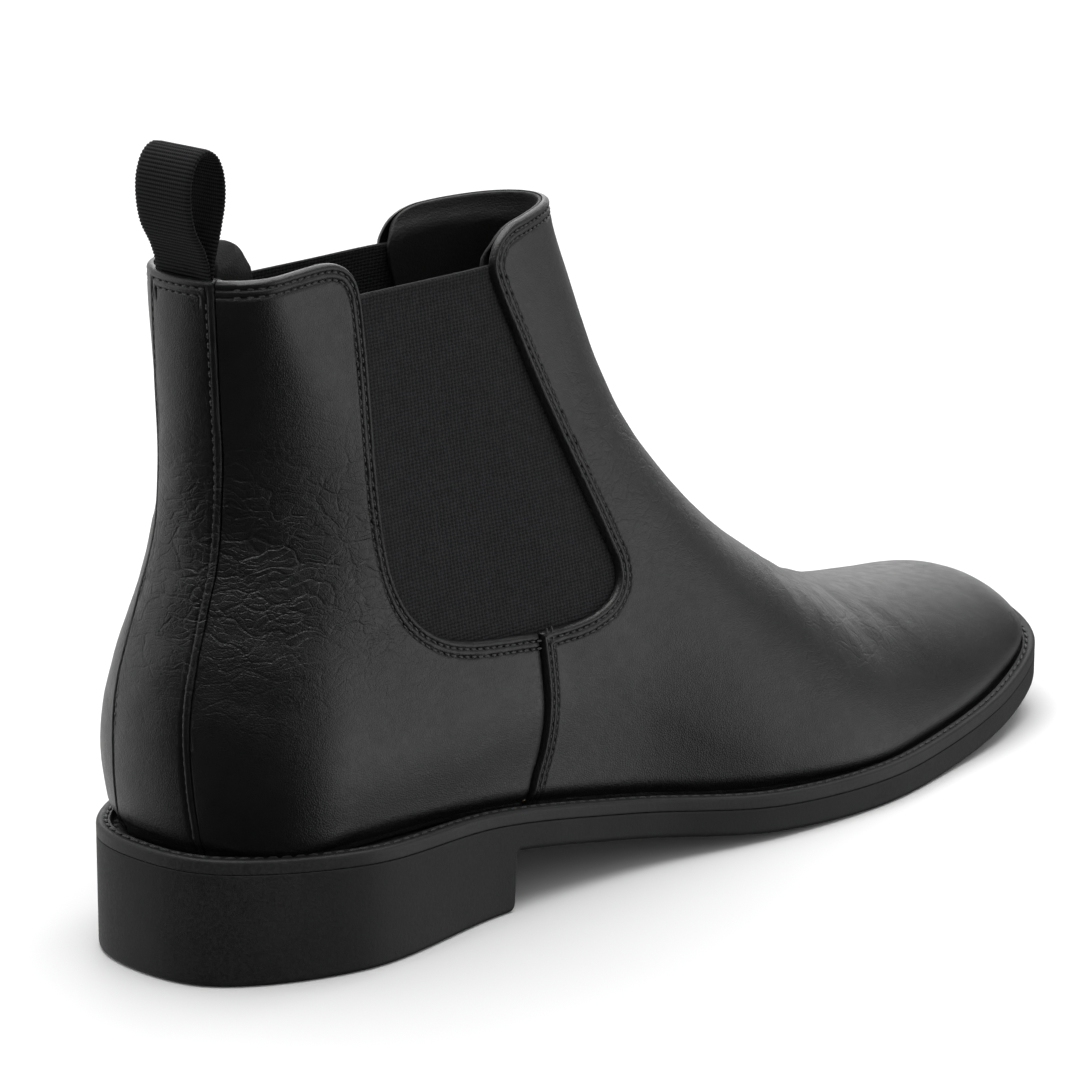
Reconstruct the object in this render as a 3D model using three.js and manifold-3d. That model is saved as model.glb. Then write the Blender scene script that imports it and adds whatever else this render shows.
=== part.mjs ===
// A men's chelsea boot, right foot, in millimetres with +Z up.
// The boot points along +X and its outer (lateral) side faces -Y. The origin is the centre of the heel
// tread. Inside the file the boot is laid out from the rearmost point of the sole, and the whole group
// is then shifted.
import * as THREE from 'three';
import { mergeVertices } from 'three/addons/utils/BufferGeometryUtils.js';
import Module from 'manifold-3d';

const wasm = await Module();
wasm.setup();

// ---- driving dimensions --------------------------------------------------------------------------
const GAP = 0.3;                    // clearance between neighbouring pieces
const HEEL_CENTRE_X = 40;           // from the back of the sole to the origin
const HEEL_LENGTH = 84;             // back of the sole to the heel breast
const SOLE_THICKNESS = 10;          // welt top to tread in the forepart
const WELT_THICKNESS = 3.3;
const WELT_WIDTH = 9.6;
const WELT_LEDGE = 4.5;             // how far the upper stands in from the welt's edge
const LEATHER = 1.4;
const MIDDLE_OUT = 1.7;             // the layer between leather and lining
const MIDDLE_IN = 3.2;
const ELASTIC_IN = 2.9;
const LINING_OUT = 3.5;
const LINING_IN = 4.4;
const LINING_FRONT = 290;           // the vamp lining stops here, behind the toe puff's tip
const BOARD_TOP = 2.5;              // insole board's top face above the welt's
const BOARD_FRONT = 280;            // board and sock liner stop here, behind the toe
const SOCK_THICKNESS = 1.2;
const HEEL_PAD_RISE = 2.3;
const LOOP_WIDTH = 17;
const WEBBING = 1.3;
const BACK_STRIP_TOP = 9.7;         // half-width of the back strip at the topline
const BACK_STRIP_FOOT = 13.5;       // and at the welt
const QUARTER_TOP = 155.6;
const BACK_TOP = 154.3;
const FRONT_TOP = 156.3;
const ELASTIC_TOP = 147;
const NAIL_SPOTS = [[18, 0], [30, 14], [30, -14], [56, 14], [56, -14]];
const RIVET_SPOTS = [50, 136];

// Outline of the sole seen from above, from the back of the heel along the lateral side to the toe and back.
const SOLE_OUTLINE = [
  [0, 0], [5, -18.5], [35, -35.8], [80, -34.9], [125, -38.9], [165, -48.8], [200, -52.2], [230, -48.6],
  [262, -42.8], [285.6, -32.2], [297.8, -14.4], [302, 2.5], [297, 18.5], [285, 31.5], [262, 45], [230, 50],
  [200, 46.3], [165, 37], [125, 32], [80, 32.9], [35, 35.6], [5, 18.5],
];
// Height of the welt's top face along the boot.
const SEAT = [[0, 30], [40, 27.8], [80, 24.9], [120, 18.4], [160, 11.9], [200, 10], [216, 10], [232, 10.6],
  [262, 14.4], [302, 22.6]];
// The front line of the upper from the toe tip to the top of the shaft.
const RIDGE = [[297.5, 25.4], [297.3, 26.6], [289.7, 30.3], [275, 32.3], [250, 36.1], [225, 43.1], [200, 55.6],
  [176.7, 71.1], [156.6, 89.8], [141.6, 114], [133.2, 139], [128.4, 155], [127.5, 168]];
// Where each line fanned back from the ridge ends: below zero under the seat, above zero up the back.
const FAN_END = [-291.5, -280, -267.3, -257, -233, -204, -167, -122, -71, 4, 60.7, 111, 148];
const FAN_CORNER_X = 6;
const FAN_CORNER_Z = 20;
const UNDER_SEAT = 10;
// Rounding of the front of the upper, one length and one power per ridge point.
const FRONT_ROUND = [8.5, 10.5, 13.6, 21.8, 30.6, 42, 48, 54, 57, 56, 50, 45, 40];
const FRONT_POWER = [2.2, 2.3, 2.4, 2.15, 1.95, 1.9, 1.85, 1.8, 1.85, 1.95, 2, 2, 2];
// The back of the upper: its line in side view, its half-width and the length of its rounding, by height.
const BACK_LINE = [[-20, 5.6], [28, 4.8], [45, 3.1], [62, 3.3], [80, 8.5], [95, 13.4], [110, 14.9],
  [130, 14.9], [150, 14.8], [172, 14.6]];
const BACK_WIDTH = [[-20, 29], [28, 30.9], [45, 33.4], [65, 30.2], [85, 26.9], [110, 23.2], [130, 21.1],
  [150, 18.6], [172, 17.4]];
const BACK_ROUND = [[-20, 28], [30, 27], [60, 33], [85, 38], [110, 37], [130, 26], [150, 15], [172, 16]];
const BACK_POWER = 2.1;
// Sideways lean of the front line.
const CENTRE_LINE = [[0, -0.4], [80, -1], [125, -3.4], [165, -6.4], [200, -3.8], [230, 0.5], [262, 1.7],
  [302, 4.2]];
const LEAN_TOP = 150;               // the lean fades out towards this height
const LEAN_FADE = 70;
// Forward of a slanting line the section follows the sole's outline instead of the back's width.
const BACK_END = 55;
const BACK_END_SLANT = 0.45;
const BACK_END_BASE = 28;
const BACK_BLEND = 80;
// How much wider than the welt's inner edge the forepart swells.
const SWELL = 0.055;
const SWELL_START = 150;
const SWELL_BLEND = 60;

// ---- reach of the cutting shapes ----------------------------------------------------------------------
const HALF_SPACE = 80;              // more than half the boot's width
const BEHIND_HEEL = -5;
const BEYOND_TOE = 310;
const TALL = 60;                    // above the sole's highest point
const BESIDE_MIDDLE = 1;            // side pieces start this far from the boot's middle plane
const SEAT_STEP = 8;

// ---- curves --------------------------------------------------------------------------------------
const clamp01 = (value) => Math.min(1, Math.max(0, value));
const smooth = (value) => clamp01(value) ** 2 * (3 - 2 * clamp01(value));

/** A smooth curve through points with rising x, as a function of x. */
function curveThrough(points) {
  const last = points.length - 1;
  const slope = (i) => (points[i + 1][1] - points[i][1]) / (points[i + 1][0] - points[i][0]);
  const tangents = points.map((point, i) => {
    if (i === 0) return slope(0);
    if (i === last) return slope(last - 1);
    const before = point[0] - points[i - 1][0];
    const after = points[i + 1][0] - point[0];
    return (after * slope(i - 1) + before * slope(i)) / (before + after);
  });
  return (x) => {
    const at = Math.min(points[last][0], Math.max(points[0][0], x));
    let i = 0;
    while (i < last - 1 && at > points[i + 1][0]) i += 1;
    const span = points[i + 1][0] - points[i][0];
    const u = (at - points[i][0]) / span;
    const u2 = u * u;
    const u3 = u2 * u;
    return (2 * u3 - 3 * u2 + 1) * points[i][1] + (u3 - 2 * u2 + u) * span * tangents[i]
      + (3 * u2 - 2 * u3) * points[i + 1][1] + (u3 - u2) * span * tangents[i + 1];
  };
}

/** How far round the edge of a superellipse quarter: 0 at depth 0, 1 at full depth. */
const rounding = (depth, power) => (1 - (1 - clamp01(depth)) ** power) ** (1 / power);

// Stations run from 0 at the toe to 1 at the shaft's top, spaced by how far both ends of a fan line travel.
const fanSteps = RIDGE.map((point, i) => (i === 0 ? 0
  : Math.hypot(point[0] - RIDGE[i - 1][0], point[1] - RIDGE[i - 1][1]) + FAN_END[i] - FAN_END[i - 1]));
const fanTravel = fanSteps.reduce((sum, step) => sum + step, 0);
let travelled = 0;
const stations = fanSteps.map((step) => {
  travelled += step;
  return travelled / fanTravel;
});
const byStation = (values) => curveThrough(stations.map((s, i) => [s, values[i]]));
const ridgeX = byStation(RIDGE.map((point) => point[0]));
const ridgeZ = byStation(RIDGE.map((point) => point[1]));
const fanEnd = byStation(FAN_END);
const frontRound = byStation(FRONT_ROUND);
const frontPower = byStation(FRONT_POWER);
const seatZ = curveThrough(SEAT);
const backX = curveThrough(BACK_LINE);
const backWidth = curveThrough(BACK_WIDTH);
const backRound = curveThrough(BACK_ROUND);
const centreLine = curveThrough(CENTRE_LINE);

/** The sole's outline moved in by an inset, as a closed list of [x, y]. */
function outlineInset(inset, count) {
  const corners = SOLE_OUTLINE.map(([x, y]) => new THREE.Vector3(x, y, 0));
  const curve = new THREE.CatmullRomCurve3(corners, true, 'centripetal');
  const points = [];
  for (let i = 0; i < count; i += 1) {
    const point = curve.getPointAt(i / count);
    const tangent = curve.getTangentAt(i / count);
    points.push([point.x - tangent.y * inset, point.y + tangent.x * inset]);
  }
  return points;
}

const FOOTPRINT = outlineInset(WELT_LEDGE, 600);
/** Y of the footprint's edge at x, on side -1 (lateral) or 1 (medial). */
function footprintY(x, side) {
  const toe = FOOTPRINT.reduce((best, point, i) => (point[0] > FOOTPRINT[best][0] ? i : best), 0);
  const chain = side < 0 ? FOOTPRINT.slice(0, toe + 1) : [...FOOTPRINT.slice(toe), FOOTPRINT[0]].reverse();
  const at = Math.min(chain[chain.length - 1][0], Math.max(chain[0][0], x));
  let i = 0;
  while (i < chain.length - 2 && chain[i + 1][0] < at) i += 1;
  const share = clamp01((at - chain[i][0]) / (chain[i + 1][0] - chain[i][0] || 1));
  return chain[i][1] + share * (chain[i + 1][1] - chain[i][1]);
}
const EDGE_START = 50;
const EDGE_STEP = 0.5;
const footprintTable = [-1, 1].map((side) => {
  const table = [];
  for (let x = EDGE_START; x <= RIDGE[0][0]; x += EDGE_STEP) table.push([x, footprintY(x, side)]);
  return table;
});
/** The same by looking it up in a table. */
function edgeY(x, side) {
  const table = footprintTable[side < 0 ? 0 : 1];
  const place = Math.min(table.length - 1.001, Math.max(0, (x - EDGE_START) / EDGE_STEP));
  const i = Math.floor(place);
  return table[i][1] + (place - i) * (table[i + 1][1] - table[i][1]);
}

// ---- the surface of the upper --------------------------------------------------------------------
function fanLine(s) {
  const end = fanEnd(s);
  const x = end < 0 ? FAN_CORNER_X - end : backX(FAN_CORNER_Z + end);
  const under = seatZ(x) - UNDER_SEAT;
  const z = end < 0 ? under : FAN_CORNER_Z + end;
  return { top: [ridgeX(s), ridgeZ(s)], end: [Math.min(x, RIDGE[0][0]), z] };
}

/** A point of the upper's outer surface: s along the front line, t from it (0) to the seat or back (1). */
function upperPoint(s, t, side) {
  const { top, end } = fanLine(s);
  const x = top[0] + (end[0] - top[0]) * t;
  const z = top[1] + (end[1] - top[1]) * t;
  const run = Math.hypot(end[0] - top[0], end[1] - top[1]) * t;
  const backShare = rounding((x - backX(z)) / backRound(z), BACK_POWER);
  const frontShare = rounding(run / frontRound(s), frontPower(s));
  const backEnd = BACK_END + BACK_END_SLANT * Math.max(z - BACK_END_BASE, 0);
  const forward = smooth((x - backEnd) / BACK_BLEND);
  const lean = centreLine(x) * smooth((LEAN_TOP - z) / LEAN_FADE);
  const swell = 1 + SWELL * smooth((x - SWELL_START) / SWELL_BLEND);
  const front = Math.max(0, side * (edgeY(x, side) - centreLine(x))) * swell;
  const closed = s === 0 || (t === 1 && fanEnd(s) > 0);
  const half = closed ? 0 : (backWidth(z) * (1 - forward) + front * forward) * backShare * frontShare;
  return [x, lean + side * half, z];
}

const SECTIONS = 32;
const SPOKES = 9;
const TOE_CROWDING = 1.4;           // sections stand closer together towards the toe

/** The upper as one closed body, its surface moved in by an inset. */
function upperBody(inset) {
  const ring = [];
  for (let j = SPOKES; j >= 0; j -= 1) ring.push([-1, j]);
  for (let j = 1; j <= SPOKES; j += 1) ring.push([1, j]);
  const positions = [];
  for (let i = 0; i <= SECTIONS; i += 1) {
    const s = (i / SECTIONS) ** TOE_CROWDING;
    for (const [side, j] of ring) {
      const t = (1 - Math.cos(Math.PI * j / SPOKES)) / 2;
      positions.push(...upperPoint(s, t, side));
    }
  }
  const width = ring.length;
  const index = [];
  for (let i = 0; i < SECTIONS; i += 1) {
    for (let j = 0; j < width; j += 1) {
      const a = i * width + j;
      const b = i * width + (j + 1) % width;
      index.push(a, b, a + width, b, b + width, a + width);
    }
  }
  const top = SECTIONS * width;
  for (let j = 0; j < SPOKES; j += 1) {
    const far = width - 1 - j;
    index.push(top + j, top + j + 1, top + far, top + j + 1, top + far - 1, top + far);
  }
  const body = new THREE.BufferGeometry();
  body.setAttribute('position', new THREE.Float32BufferAttribute(positions, 3));
  body.setIndex(index);
  const merged = withoutSlivers(mergeVertices(body, 1e-3));
  merged.computeVertexNormals();
  const place = merged.attributes.position;
  const normal = merged.attributes.normal;
  for (let i = 0; i < place.count; i += 1) {
    place.setXYZ(i, place.getX(i) - inset * normal.getX(i), place.getY(i) - inset * normal.getY(i),
      place.getZ(i) - inset * normal.getZ(i));
  }
  return solid(merged);
}

// ---- solids --------------------------------------------------------------------------------------
/** Drops triangles that use one corner twice. */
function withoutSlivers(geometry) {
  const kept = [];
  const index = geometry.index.array;
  for (let i = 0; i < index.length; i += 3) {
    const [a, b, c] = [index[i], index[i + 1], index[i + 2]];
    if (a !== b && b !== c && c !== a) kept.push(a, b, c);
  }
  geometry.setIndex(kept);
  return geometry;
}

function signedVolume(geometry) {
  const [a, b, c] = [new THREE.Vector3(), new THREE.Vector3(), new THREE.Vector3()];
  let sum = 0;
  for (let i = 0; i < geometry.index.count; i += 3) {
    a.fromBufferAttribute(geometry.attributes.position, geometry.index.getX(i));
    b.fromBufferAttribute(geometry.attributes.position, geometry.index.getX(i + 1));
    c.fromBufferAttribute(geometry.attributes.position, geometry.index.getX(i + 2));
    sum += a.dot(b.cross(c));
  }
  return sum;
}

/** A manifold solid from a closed geometry, turned to face out. */
function solid(source) {
  const geometry = source.clone();
  geometry.deleteAttribute('normal');
  geometry.deleteAttribute('uv');
  const merged = withoutSlivers(mergeVertices(geometry, 1e-4));
  const corners = Uint32Array.from(merged.index.array);
  if (signedVolume(merged) < 0) {
    for (let i = 0; i < corners.length; i += 3) [corners[i], corners[i + 1]] = [corners[i + 1], corners[i]];
  }
  const vertProperties = Float32Array.from(merged.attributes.position.array);
  return new wasm.Manifold(new wasm.Mesh({ numProp: 3, vertProperties, triVerts: corners }));
}

function shapeOf(points) {
  return new THREE.Shape(points.map(([u, v]) => new THREE.Vector2(u, v)));
}

/** An outline in side view (x, z) given thickness across the boot, from y0 to y1. */
function acrossBoot(points, y0, y1) {
  const geometry = new THREE.ExtrudeGeometry(shapeOf(points), { depth: y1 - y0, bevelEnabled: false });
  geometry.rotateX(Math.PI / 2);
  geometry.translate(0, y1, 0);
  return solid(geometry);
}

/** An outline seen from above (x, y), raised from z0 to z1, with an optional hole. */
function upright(points, z0, z1, hole) {
  const shape = shapeOf(points);
  if (hole) shape.holes.push(new THREE.Path(hole.map(([x, y]) => new THREE.Vector2(x, y))));
  const geometry = new THREE.ExtrudeGeometry(shape, { depth: z1 - z0, bevelEnabled: false });
  geometry.translate(0, 0, z0);
  return solid(geometry);
}

/** Points of a line from x0 to x1 that follows the seat at a height above it. */
function alongSeat(x0, x1, rise) {
  const low = Math.min(x0, x1);
  const high = Math.max(x0, x1);
  const at = [low];
  for (let x = (Math.floor(low / SEAT_STEP) + 1) * SEAT_STEP; x < high; x += SEAT_STEP) at.push(x);
  at.push(high);
  if (x0 > x1) at.reverse();
  return at.map((x) => [x, seatZ(x) + (typeof rise === 'function' ? rise(x) : rise)]);
}

/** An outline in side view cut right across the boot, or on one side of it only. */
function across(points, side = 0) {
  const y0 = side > 0 ? BESIDE_MIDDLE : -HALF_SPACE;
  const y1 = side < 0 ? -BESIDE_MIDDLE : HALF_SPACE;
  return acrossBoot(points, y0, y1);
}

/** A layer between two lines that follow the seat, across the whole width. */
function seatLayer(x0, x1, low, high) {
  return across([...alongSeat(x0, x1, low), ...alongSeat(x1, x0, high)]);
}

const FASTENER_SIDES = 10;
/** A nail or rivet: a flat head on a stem that points down. */
function fastener({ x, y, top, head, headDepth, stem, length }) {
  const profile = [[0, 0], [head, 0], [head, -headDepth], [stem, -headDepth], [stem, -length], [0, -length]];
  const points = profile.reverse().map(([r, z]) => new THREE.Vector2(r, z));
  const geometry = new THREE.LatheGeometry(points, FASTENER_SIDES);
  geometry.rotateX(Math.PI / 2);
  geometry.translate(x, y, top);
  return solid(geometry);
}

// ---- outlines of the upper's panels in side view -------------------------------------------------
const ARC_STEPS = 5;
/** Points of a quadratic bend from one point to another, pulled towards a corner. */
function bend(from, corner, to) {
  const curve = new THREE.QuadraticBezierCurve(
    new THREE.Vector2(...from), new THREE.Vector2(...corner), new THREE.Vector2(...to));
  return curve.getPoints(ARC_STEPS).map((point) => [point.x, point.y]);
}

const SEAM_TOP = [95.7, 63.4];
const FRONT_EDGE = [[110.2, 106.7], [101.6, 127]];
const SEAM_FOOT = 92.4;
const seamLine = [[93.6, 28], [95.6, 36], [96.2, 44], [96, 54]];
const uFront = bend([108, 63.2], [129.5, 64.4], [121.6, 79]);
const uRear = bend([74, 66.2], [53, 70.5], [51.9, 92]);
const vampCorner = bend([94.4, 146], [95.6, 154.4], [108, 154.9]);
const quarterCorner = bend([52.2, 146], [51.8, 155], [42, QUARTER_TOP]);

const VAMP_TOP = [[135, FRONT_TOP], [180, FRONT_TOP]];
const ELASTIC_REAR = [[46.3, ELASTIC_TOP], [45.9, 90]];
const ELASTIC_FRONT = [[116.5, 107], [108, 127], [99.5, ELASTIC_TOP - 0.5]];

function vampOutline(front) {
  return [...alongSeat(front, SEAM_FOOT, GAP), ...seamLine, SEAM_TOP, ...uFront, ...FRONT_EDGE,
    ...vampCorner, ...VAMP_TOP, [front, TALL]];
}

function quarterOutline(rear) {
  const seam = [...seamLine, SEAM_TOP].map(([x, z]) => [x - GAP, z]);
  return [...alongSeat(rear, SEAM_FOOT - GAP, GAP), ...seam, ...uRear, ...quarterCorner,
    [rear, rear > 0 ? QUARTER_TOP : BACK_TOP]];
}

/** The elastic laps under the leather all round its opening. */
function elasticOutline() {
  return [...ELASTIC_REAR, ...bend([50, 76], [54, 62], [74, 59.5]), [104, 57.5],
    ...bend([112, 57.5], [134, 60], [128, 78]), ...ELASTIC_FRONT];
}

// Half of the back strip's outline seen from behind, by height.
const STRIP_SIDE = [[BACK_STRIP_FOOT, 10], [BACK_STRIP_FOOT, 35], [BACK_STRIP_TOP + 0.6, 100],
  [BACK_STRIP_TOP, 175]];
function stripOutline(extra) {
  const right = STRIP_SIDE.map(([y, z]) => [y + extra, z]);
  const left = STRIP_SIDE.map(([y, z]) => [-y - extra, z]);
  return [...right, ...left.reverse()];
}

/** An outline seen from behind (y, z), given depth along the boot. */
function alongBoot(points, x0, x1) {
  const geometry = new THREE.ExtrudeGeometry(shapeOf(points), { depth: x1 - x0, bevelEnabled: false });
  geometry.rotateX(Math.PI / 2);
  geometry.rotateZ(Math.PI / 2);
  geometry.translate(x0, 0, 0);
  return solid(geometry);
}

// ---- parts ---------------------------------------------------------------------------------------
const group = new THREE.Group();
group.position.x = -HEEL_CENTRE_X;

function addPart(name, body, colour, roughness, metalness = 0) {
  const mesh = body.getMesh();
  const geometry = new THREE.BufferGeometry();
  geometry.setAttribute('position', new THREE.BufferAttribute(Float32Array.from(mesh.vertProperties), 3));
  geometry.setIndex(new THREE.BufferAttribute(Uint32Array.from(mesh.triVerts), 1));
  geometry.computeVertexNormals();
  const material = new THREE.MeshStandardMaterial({ color: colour, roughness, metalness });
  const part = new THREE.Mesh(geometry, material);
  part.name = name;
  group.add(part);
}

const BLACK_LEATHER = 0x1b1a1a;
const BLACK_ELASTIC = 0x232325;
const BLACK_RUBBER = 0x202021;
const LINING_BLACK = 0x141414;
const BOARD_TAN = 0xa08460;
const STEEL = 0x9a9ca0;
const CORK = 0x7a5c3a;
const FOAM_GREY = 0x3a3a3c;

const bodies = {};
for (const inset of [0, LEATHER, MIDDLE_OUT, ELASTIC_IN, MIDDLE_IN, LINING_OUT, LINING_IN]) {
  bodies[inset] = upperBody(inset);
}
const footSpace = upperBody(LINING_IN + 5 * GAP);
const shell = (outer, inner) => bodies[outer].subtract(bodies[inner]);
const leatherShell = shell(0, LEATHER);
const middleShell = shell(MIDDLE_OUT, MIDDLE_IN);
const elasticShell = shell(MIDDLE_OUT, ELASTIC_IN);
const liningShell = shell(LINING_OUT, LINING_IN);

const UPPER_FRONT = 299;            // just beyond the toe's tip
const STRIP_FRONT = 40;             // ahead of the back strip
const STRIP_MARGIN = 2;
function addLeatherPanels() {
  const vamp = leatherShell.intersect(across(vampOutline(UPPER_FRONT)));
  addPart('vamp', vamp, BLACK_LEATHER, 0.35);
  const strip = alongBoot(stripOutline(0), BEHIND_HEEL, STRIP_FRONT);
  const stripRoom = alongBoot(stripOutline(GAP), BEHIND_HEEL - STRIP_MARGIN, STRIP_FRONT + STRIP_MARGIN);
  const height = across([...alongSeat(BEHIND_HEEL, TALL, GAP), [TALL, BACK_TOP], [BEHIND_HEEL, BACK_TOP]]);
  addPart('back_strip', leatherShell.intersect(strip).intersect(height), BLACK_LEATHER, 0.35);
  const rear = leatherShell.subtract(stripRoom);
  const quarter = quarterOutline(BEHIND_HEEL);
  addPart('quarter_lateral', rear.intersect(across(quarter, -1)), BLACK_LEATHER, 0.35);
  addPart('quarter_medial', rear.intersect(across(quarter, 1)), BLACK_LEATHER, 0.35);
}

function addElastic() {
  const outline = elasticOutline();
  addPart('gusset_lateral', elasticShell.intersect(across(outline, -1)), BLACK_ELASTIC, 0.9);
  addPart('gusset_medial', elasticShell.intersect(across(outline, 1)), BLACK_ELASTIC, 0.9);
}

const COUNTER_FRONT = 98;
const COUNTER_TOP = [[92, 42], [60, 50], [38, 62], [BEHIND_HEEL, 72]];
const PUFF_REAR = 252;
const PUFF_SLANT = 10;
function addStiffeners() {
  const counter = [...alongSeat(BEHIND_HEEL, COUNTER_FRONT, GAP), ...COUNTER_TOP];
  addPart('heel_counter', middleShell.intersect(across(counter)), BOARD_TAN, 0.8);
  const puff = [...alongSeat(PUFF_REAR, UPPER_FRONT, GAP), [BEYOND_TOE, TALL],
    [PUFF_REAR + PUFF_SLANT, TALL]];
  addPart('toe_puff', elasticShell.intersect(across(puff)), BOARD_TAN, 0.8);
}

const HEEL_LINING_FRONT = 40;
function addLining() {
  const heel = [...alongSeat(BEHIND_HEEL, HEEL_LINING_FRONT, GAP), [HEEL_LINING_FRONT, BACK_TOP],
    [BEHIND_HEEL, BACK_TOP]];
  addPart('heel_lining', liningShell.intersect(across(heel)), LINING_BLACK, 0.9);
  const side = quarterOutline(HEEL_LINING_FRONT + GAP);
  addPart('quarter_lining_lateral', liningShell.intersect(across(side, -1)), LINING_BLACK, 0.6);
  addPart('quarter_lining_medial', liningShell.intersect(across(side, 1)), LINING_BLACK, 0.6);
  const front = across(vampOutline(LINING_FRONT));
  addPart('vamp_lining', liningShell.intersect(front), LINING_BLACK, 0.8);
}

const OUTLINE_STEPS = 54;
const PLATFORM_END = 148;           // the raised middle of the sole stops here and the filler starts
const WELT_LOW = -WELT_THICKNESS;
const SHANK_SPAN = [43, 145];
const SHANK_HALF_WIDTH = 7.5;
const SHANK_TOP = -0.3;             // from the welt's top face
const SHANK_LOW = -1.7;
const SLOT_CLEARANCE = 1;           // at each end of the shank's slot
const SLOT_OPEN = 3;                // the slot is cut up to this height above the welt's top face
const HEAD_DEPTH = 0.7;
const HEAD_SUNK = 0.2;              // heads lie this far below the insole board's top
const ROOM_ABOVE = 2;
const NAIL = { head: 2.6, stem: 1.2, length: 15 };
const RIVET = { head: 3, stem: 1.5, length: 4 };

/** A rectangle seen from above, centred on the boot's length axis. */
function rectangle(x0, x1, half) {
  return [[x0, -half], [x1, -half], [x1, half], [x0, half]];
}

/** Where a nail or rivet stands, and its sizes. */
function placed(kind, x, y) {
  return { x, y, top: seatZ(x) + BOARD_TOP - HEAD_SUNK, headDepth: HEAD_DEPTH, ...kind };
}

/** The space a fastener needs, open above. */
function fastenerRoom(item) {
  return fastener({
    x: item.x,
    y: item.y,
    top: item.top + ROOM_ABOVE,
    head: item.head + GAP,
    headDepth: item.headDepth + ROOM_ABOVE + GAP,
    stem: item.stem + GAP,
    length: item.length + ROOM_ABOVE + GAP,
  });
}

/** A solid without the crumbs that a cut can leave beside it. */
function largest(body) {
  return body.decompose().sort((a, b) => b.volume() - a.volume())[0];
}

function addSole() {
  const outline = outlineInset(0, OUTLINE_STEPS);
  const insideWelt = outlineInset(WELT_WIDTH, OUTLINE_STEPS);
  const insideRoom = outlineInset(WELT_WIDTH + GAP, OUTLINE_STEPS);
  const treadRise = (x) => Math.max(-seatZ(x), -SOLE_THICKNESS);
  const bulk = [[BEHIND_HEEL, 0], [HEEL_LENGTH, 0], ...alongSeat(HEEL_LENGTH, BEYOND_TOE, treadRise),
    ...alongSeat(BEYOND_TOE, BEHIND_HEEL, WELT_LOW - GAP)];
  const inner = upright(insideRoom, 0, TALL);
  const platform = inner.intersect(seatLayer(BEHIND_HEEL, PLATFORM_END, WELT_LOW - 2 * GAP, 0));
  const [shankRear, shankFront] = SHANK_SPAN;
  const slotSpan = [shankRear - SLOT_CLEARANCE, shankFront + SLOT_CLEARANCE];
  const slotPlan = rectangle(...slotSpan, SHANK_HALF_WIDTH + GAP);
  const slot = seatLayer(...slotSpan, SHANK_LOW - GAP, SLOT_OPEN).intersect(upright(slotPlan, 0, TALL));
  const whole = upright(outline, BEHIND_HEEL, TALL);
  let unit = whole.intersect(across(bulk)).add(platform).subtract(slot);
  let board = footSpace.intersect(seatLayer(BEHIND_HEEL, BOARD_FRONT, GAP, BOARD_TOP));
  let shank = seatLayer(shankRear, shankFront, SHANK_LOW, SHANK_TOP)
    .intersect(upright(rectangle(shankRear, shankFront, SHANK_HALF_WIDTH), 0, TALL));
  const nails = NAIL_SPOTS.map(([x, y]) => placed(NAIL, x, y));
  const rivets = RIVET_SPOTS.map((x) => placed(RIVET, x, 0));
  for (const item of [...nails, ...rivets]) {
    const room = fastenerRoom(item);
    unit = unit.subtract(room);
    board = board.subtract(room);
    shank = shank.subtract(room);
  }
  addPart('outsole_unit', unit, BLACK_RUBBER, 0.75);
  const welt = upright(outline, 0, TALL, insideWelt)
    .intersect(seatLayer(BEHIND_HEEL, BEYOND_TOE, WELT_LOW, 0));
  addPart('welt', welt, BLACK_RUBBER, 0.65);
  addPart('insole_board', largest(board), BOARD_TAN, 0.9);
  addPart('shank', shank, STEEL, 0.4, 1);
  nails.forEach((item, i) => addPart(`heel_nail_${i + 1}`, fastener(item), STEEL, 0.4, 1));
  rivets.forEach((item, i) => addPart(`shank_rivet_${i + 1}`, fastener(item), STEEL, 0.4, 1));
  const filler = inner.intersect(seatLayer(PLATFORM_END + GAP, BEYOND_TOE, WELT_LOW, 0));
  addPart('bottom_filler', filler, CORK, 0.95);
}

const PAD_FRONT = 78;
const PAD_SLOPE_START = 70;
const PAD_SLOPE = 25;
/** The sock liner, and the foam pad that lifts it under the heel. */
function addSock() {
  const lift = (x) => BOARD_TOP + GAP + HEEL_PAD_RISE * (1 - smooth((x - PAD_SLOPE_START) / PAD_SLOPE));
  const sock = seatLayer(BEHIND_HEEL, BOARD_FRONT, lift, (x) => lift(x) + SOCK_THICKNESS);
  addPart('sock_liner', footSpace.intersect(sock), LINING_BLACK, 0.7);
  const pad = seatLayer(BEHIND_HEEL, PAD_FRONT, BOARD_TOP + GAP, (x) => lift(x) - GAP);
  addPart('heel_pad', footSpace.intersect(pad), FOAM_GREY, 0.95);
}

const LOOP_NECK = [17.4, 156.3];
const LOOP_REAR = [[15, 160.3], [12.2, 165.5], [11, 171.1], [11.3, 176.8], [13.4, 181.2]];
const LOOP_CROWN = [16.6, 182.9];
const LOOP_FRONT = [[20, 181.2], [22, 176.8], [22.2, 171.1], [21, 165.5], [19.6, 160.3]];
const LOOP_EYE = [[17.2, 161.2], [15.6, 163.2], [13.4, 166.6], [12.3, 171.1], [12.6, 176.2], [14.3, 179.9],
  [16.6, 181.6], [19, 180.1], [20.7, 176.2], [20.9, 171.1], [19.8, 166.6], [18.6, 163.2]];
const NECK_STEPS = 8;
const TAIL_FOOT = 124;              // the tail reaches down to here between leather and lining
const TAIL_SPAN = [5, 40];          // wider than the tail's layer is thick
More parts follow.
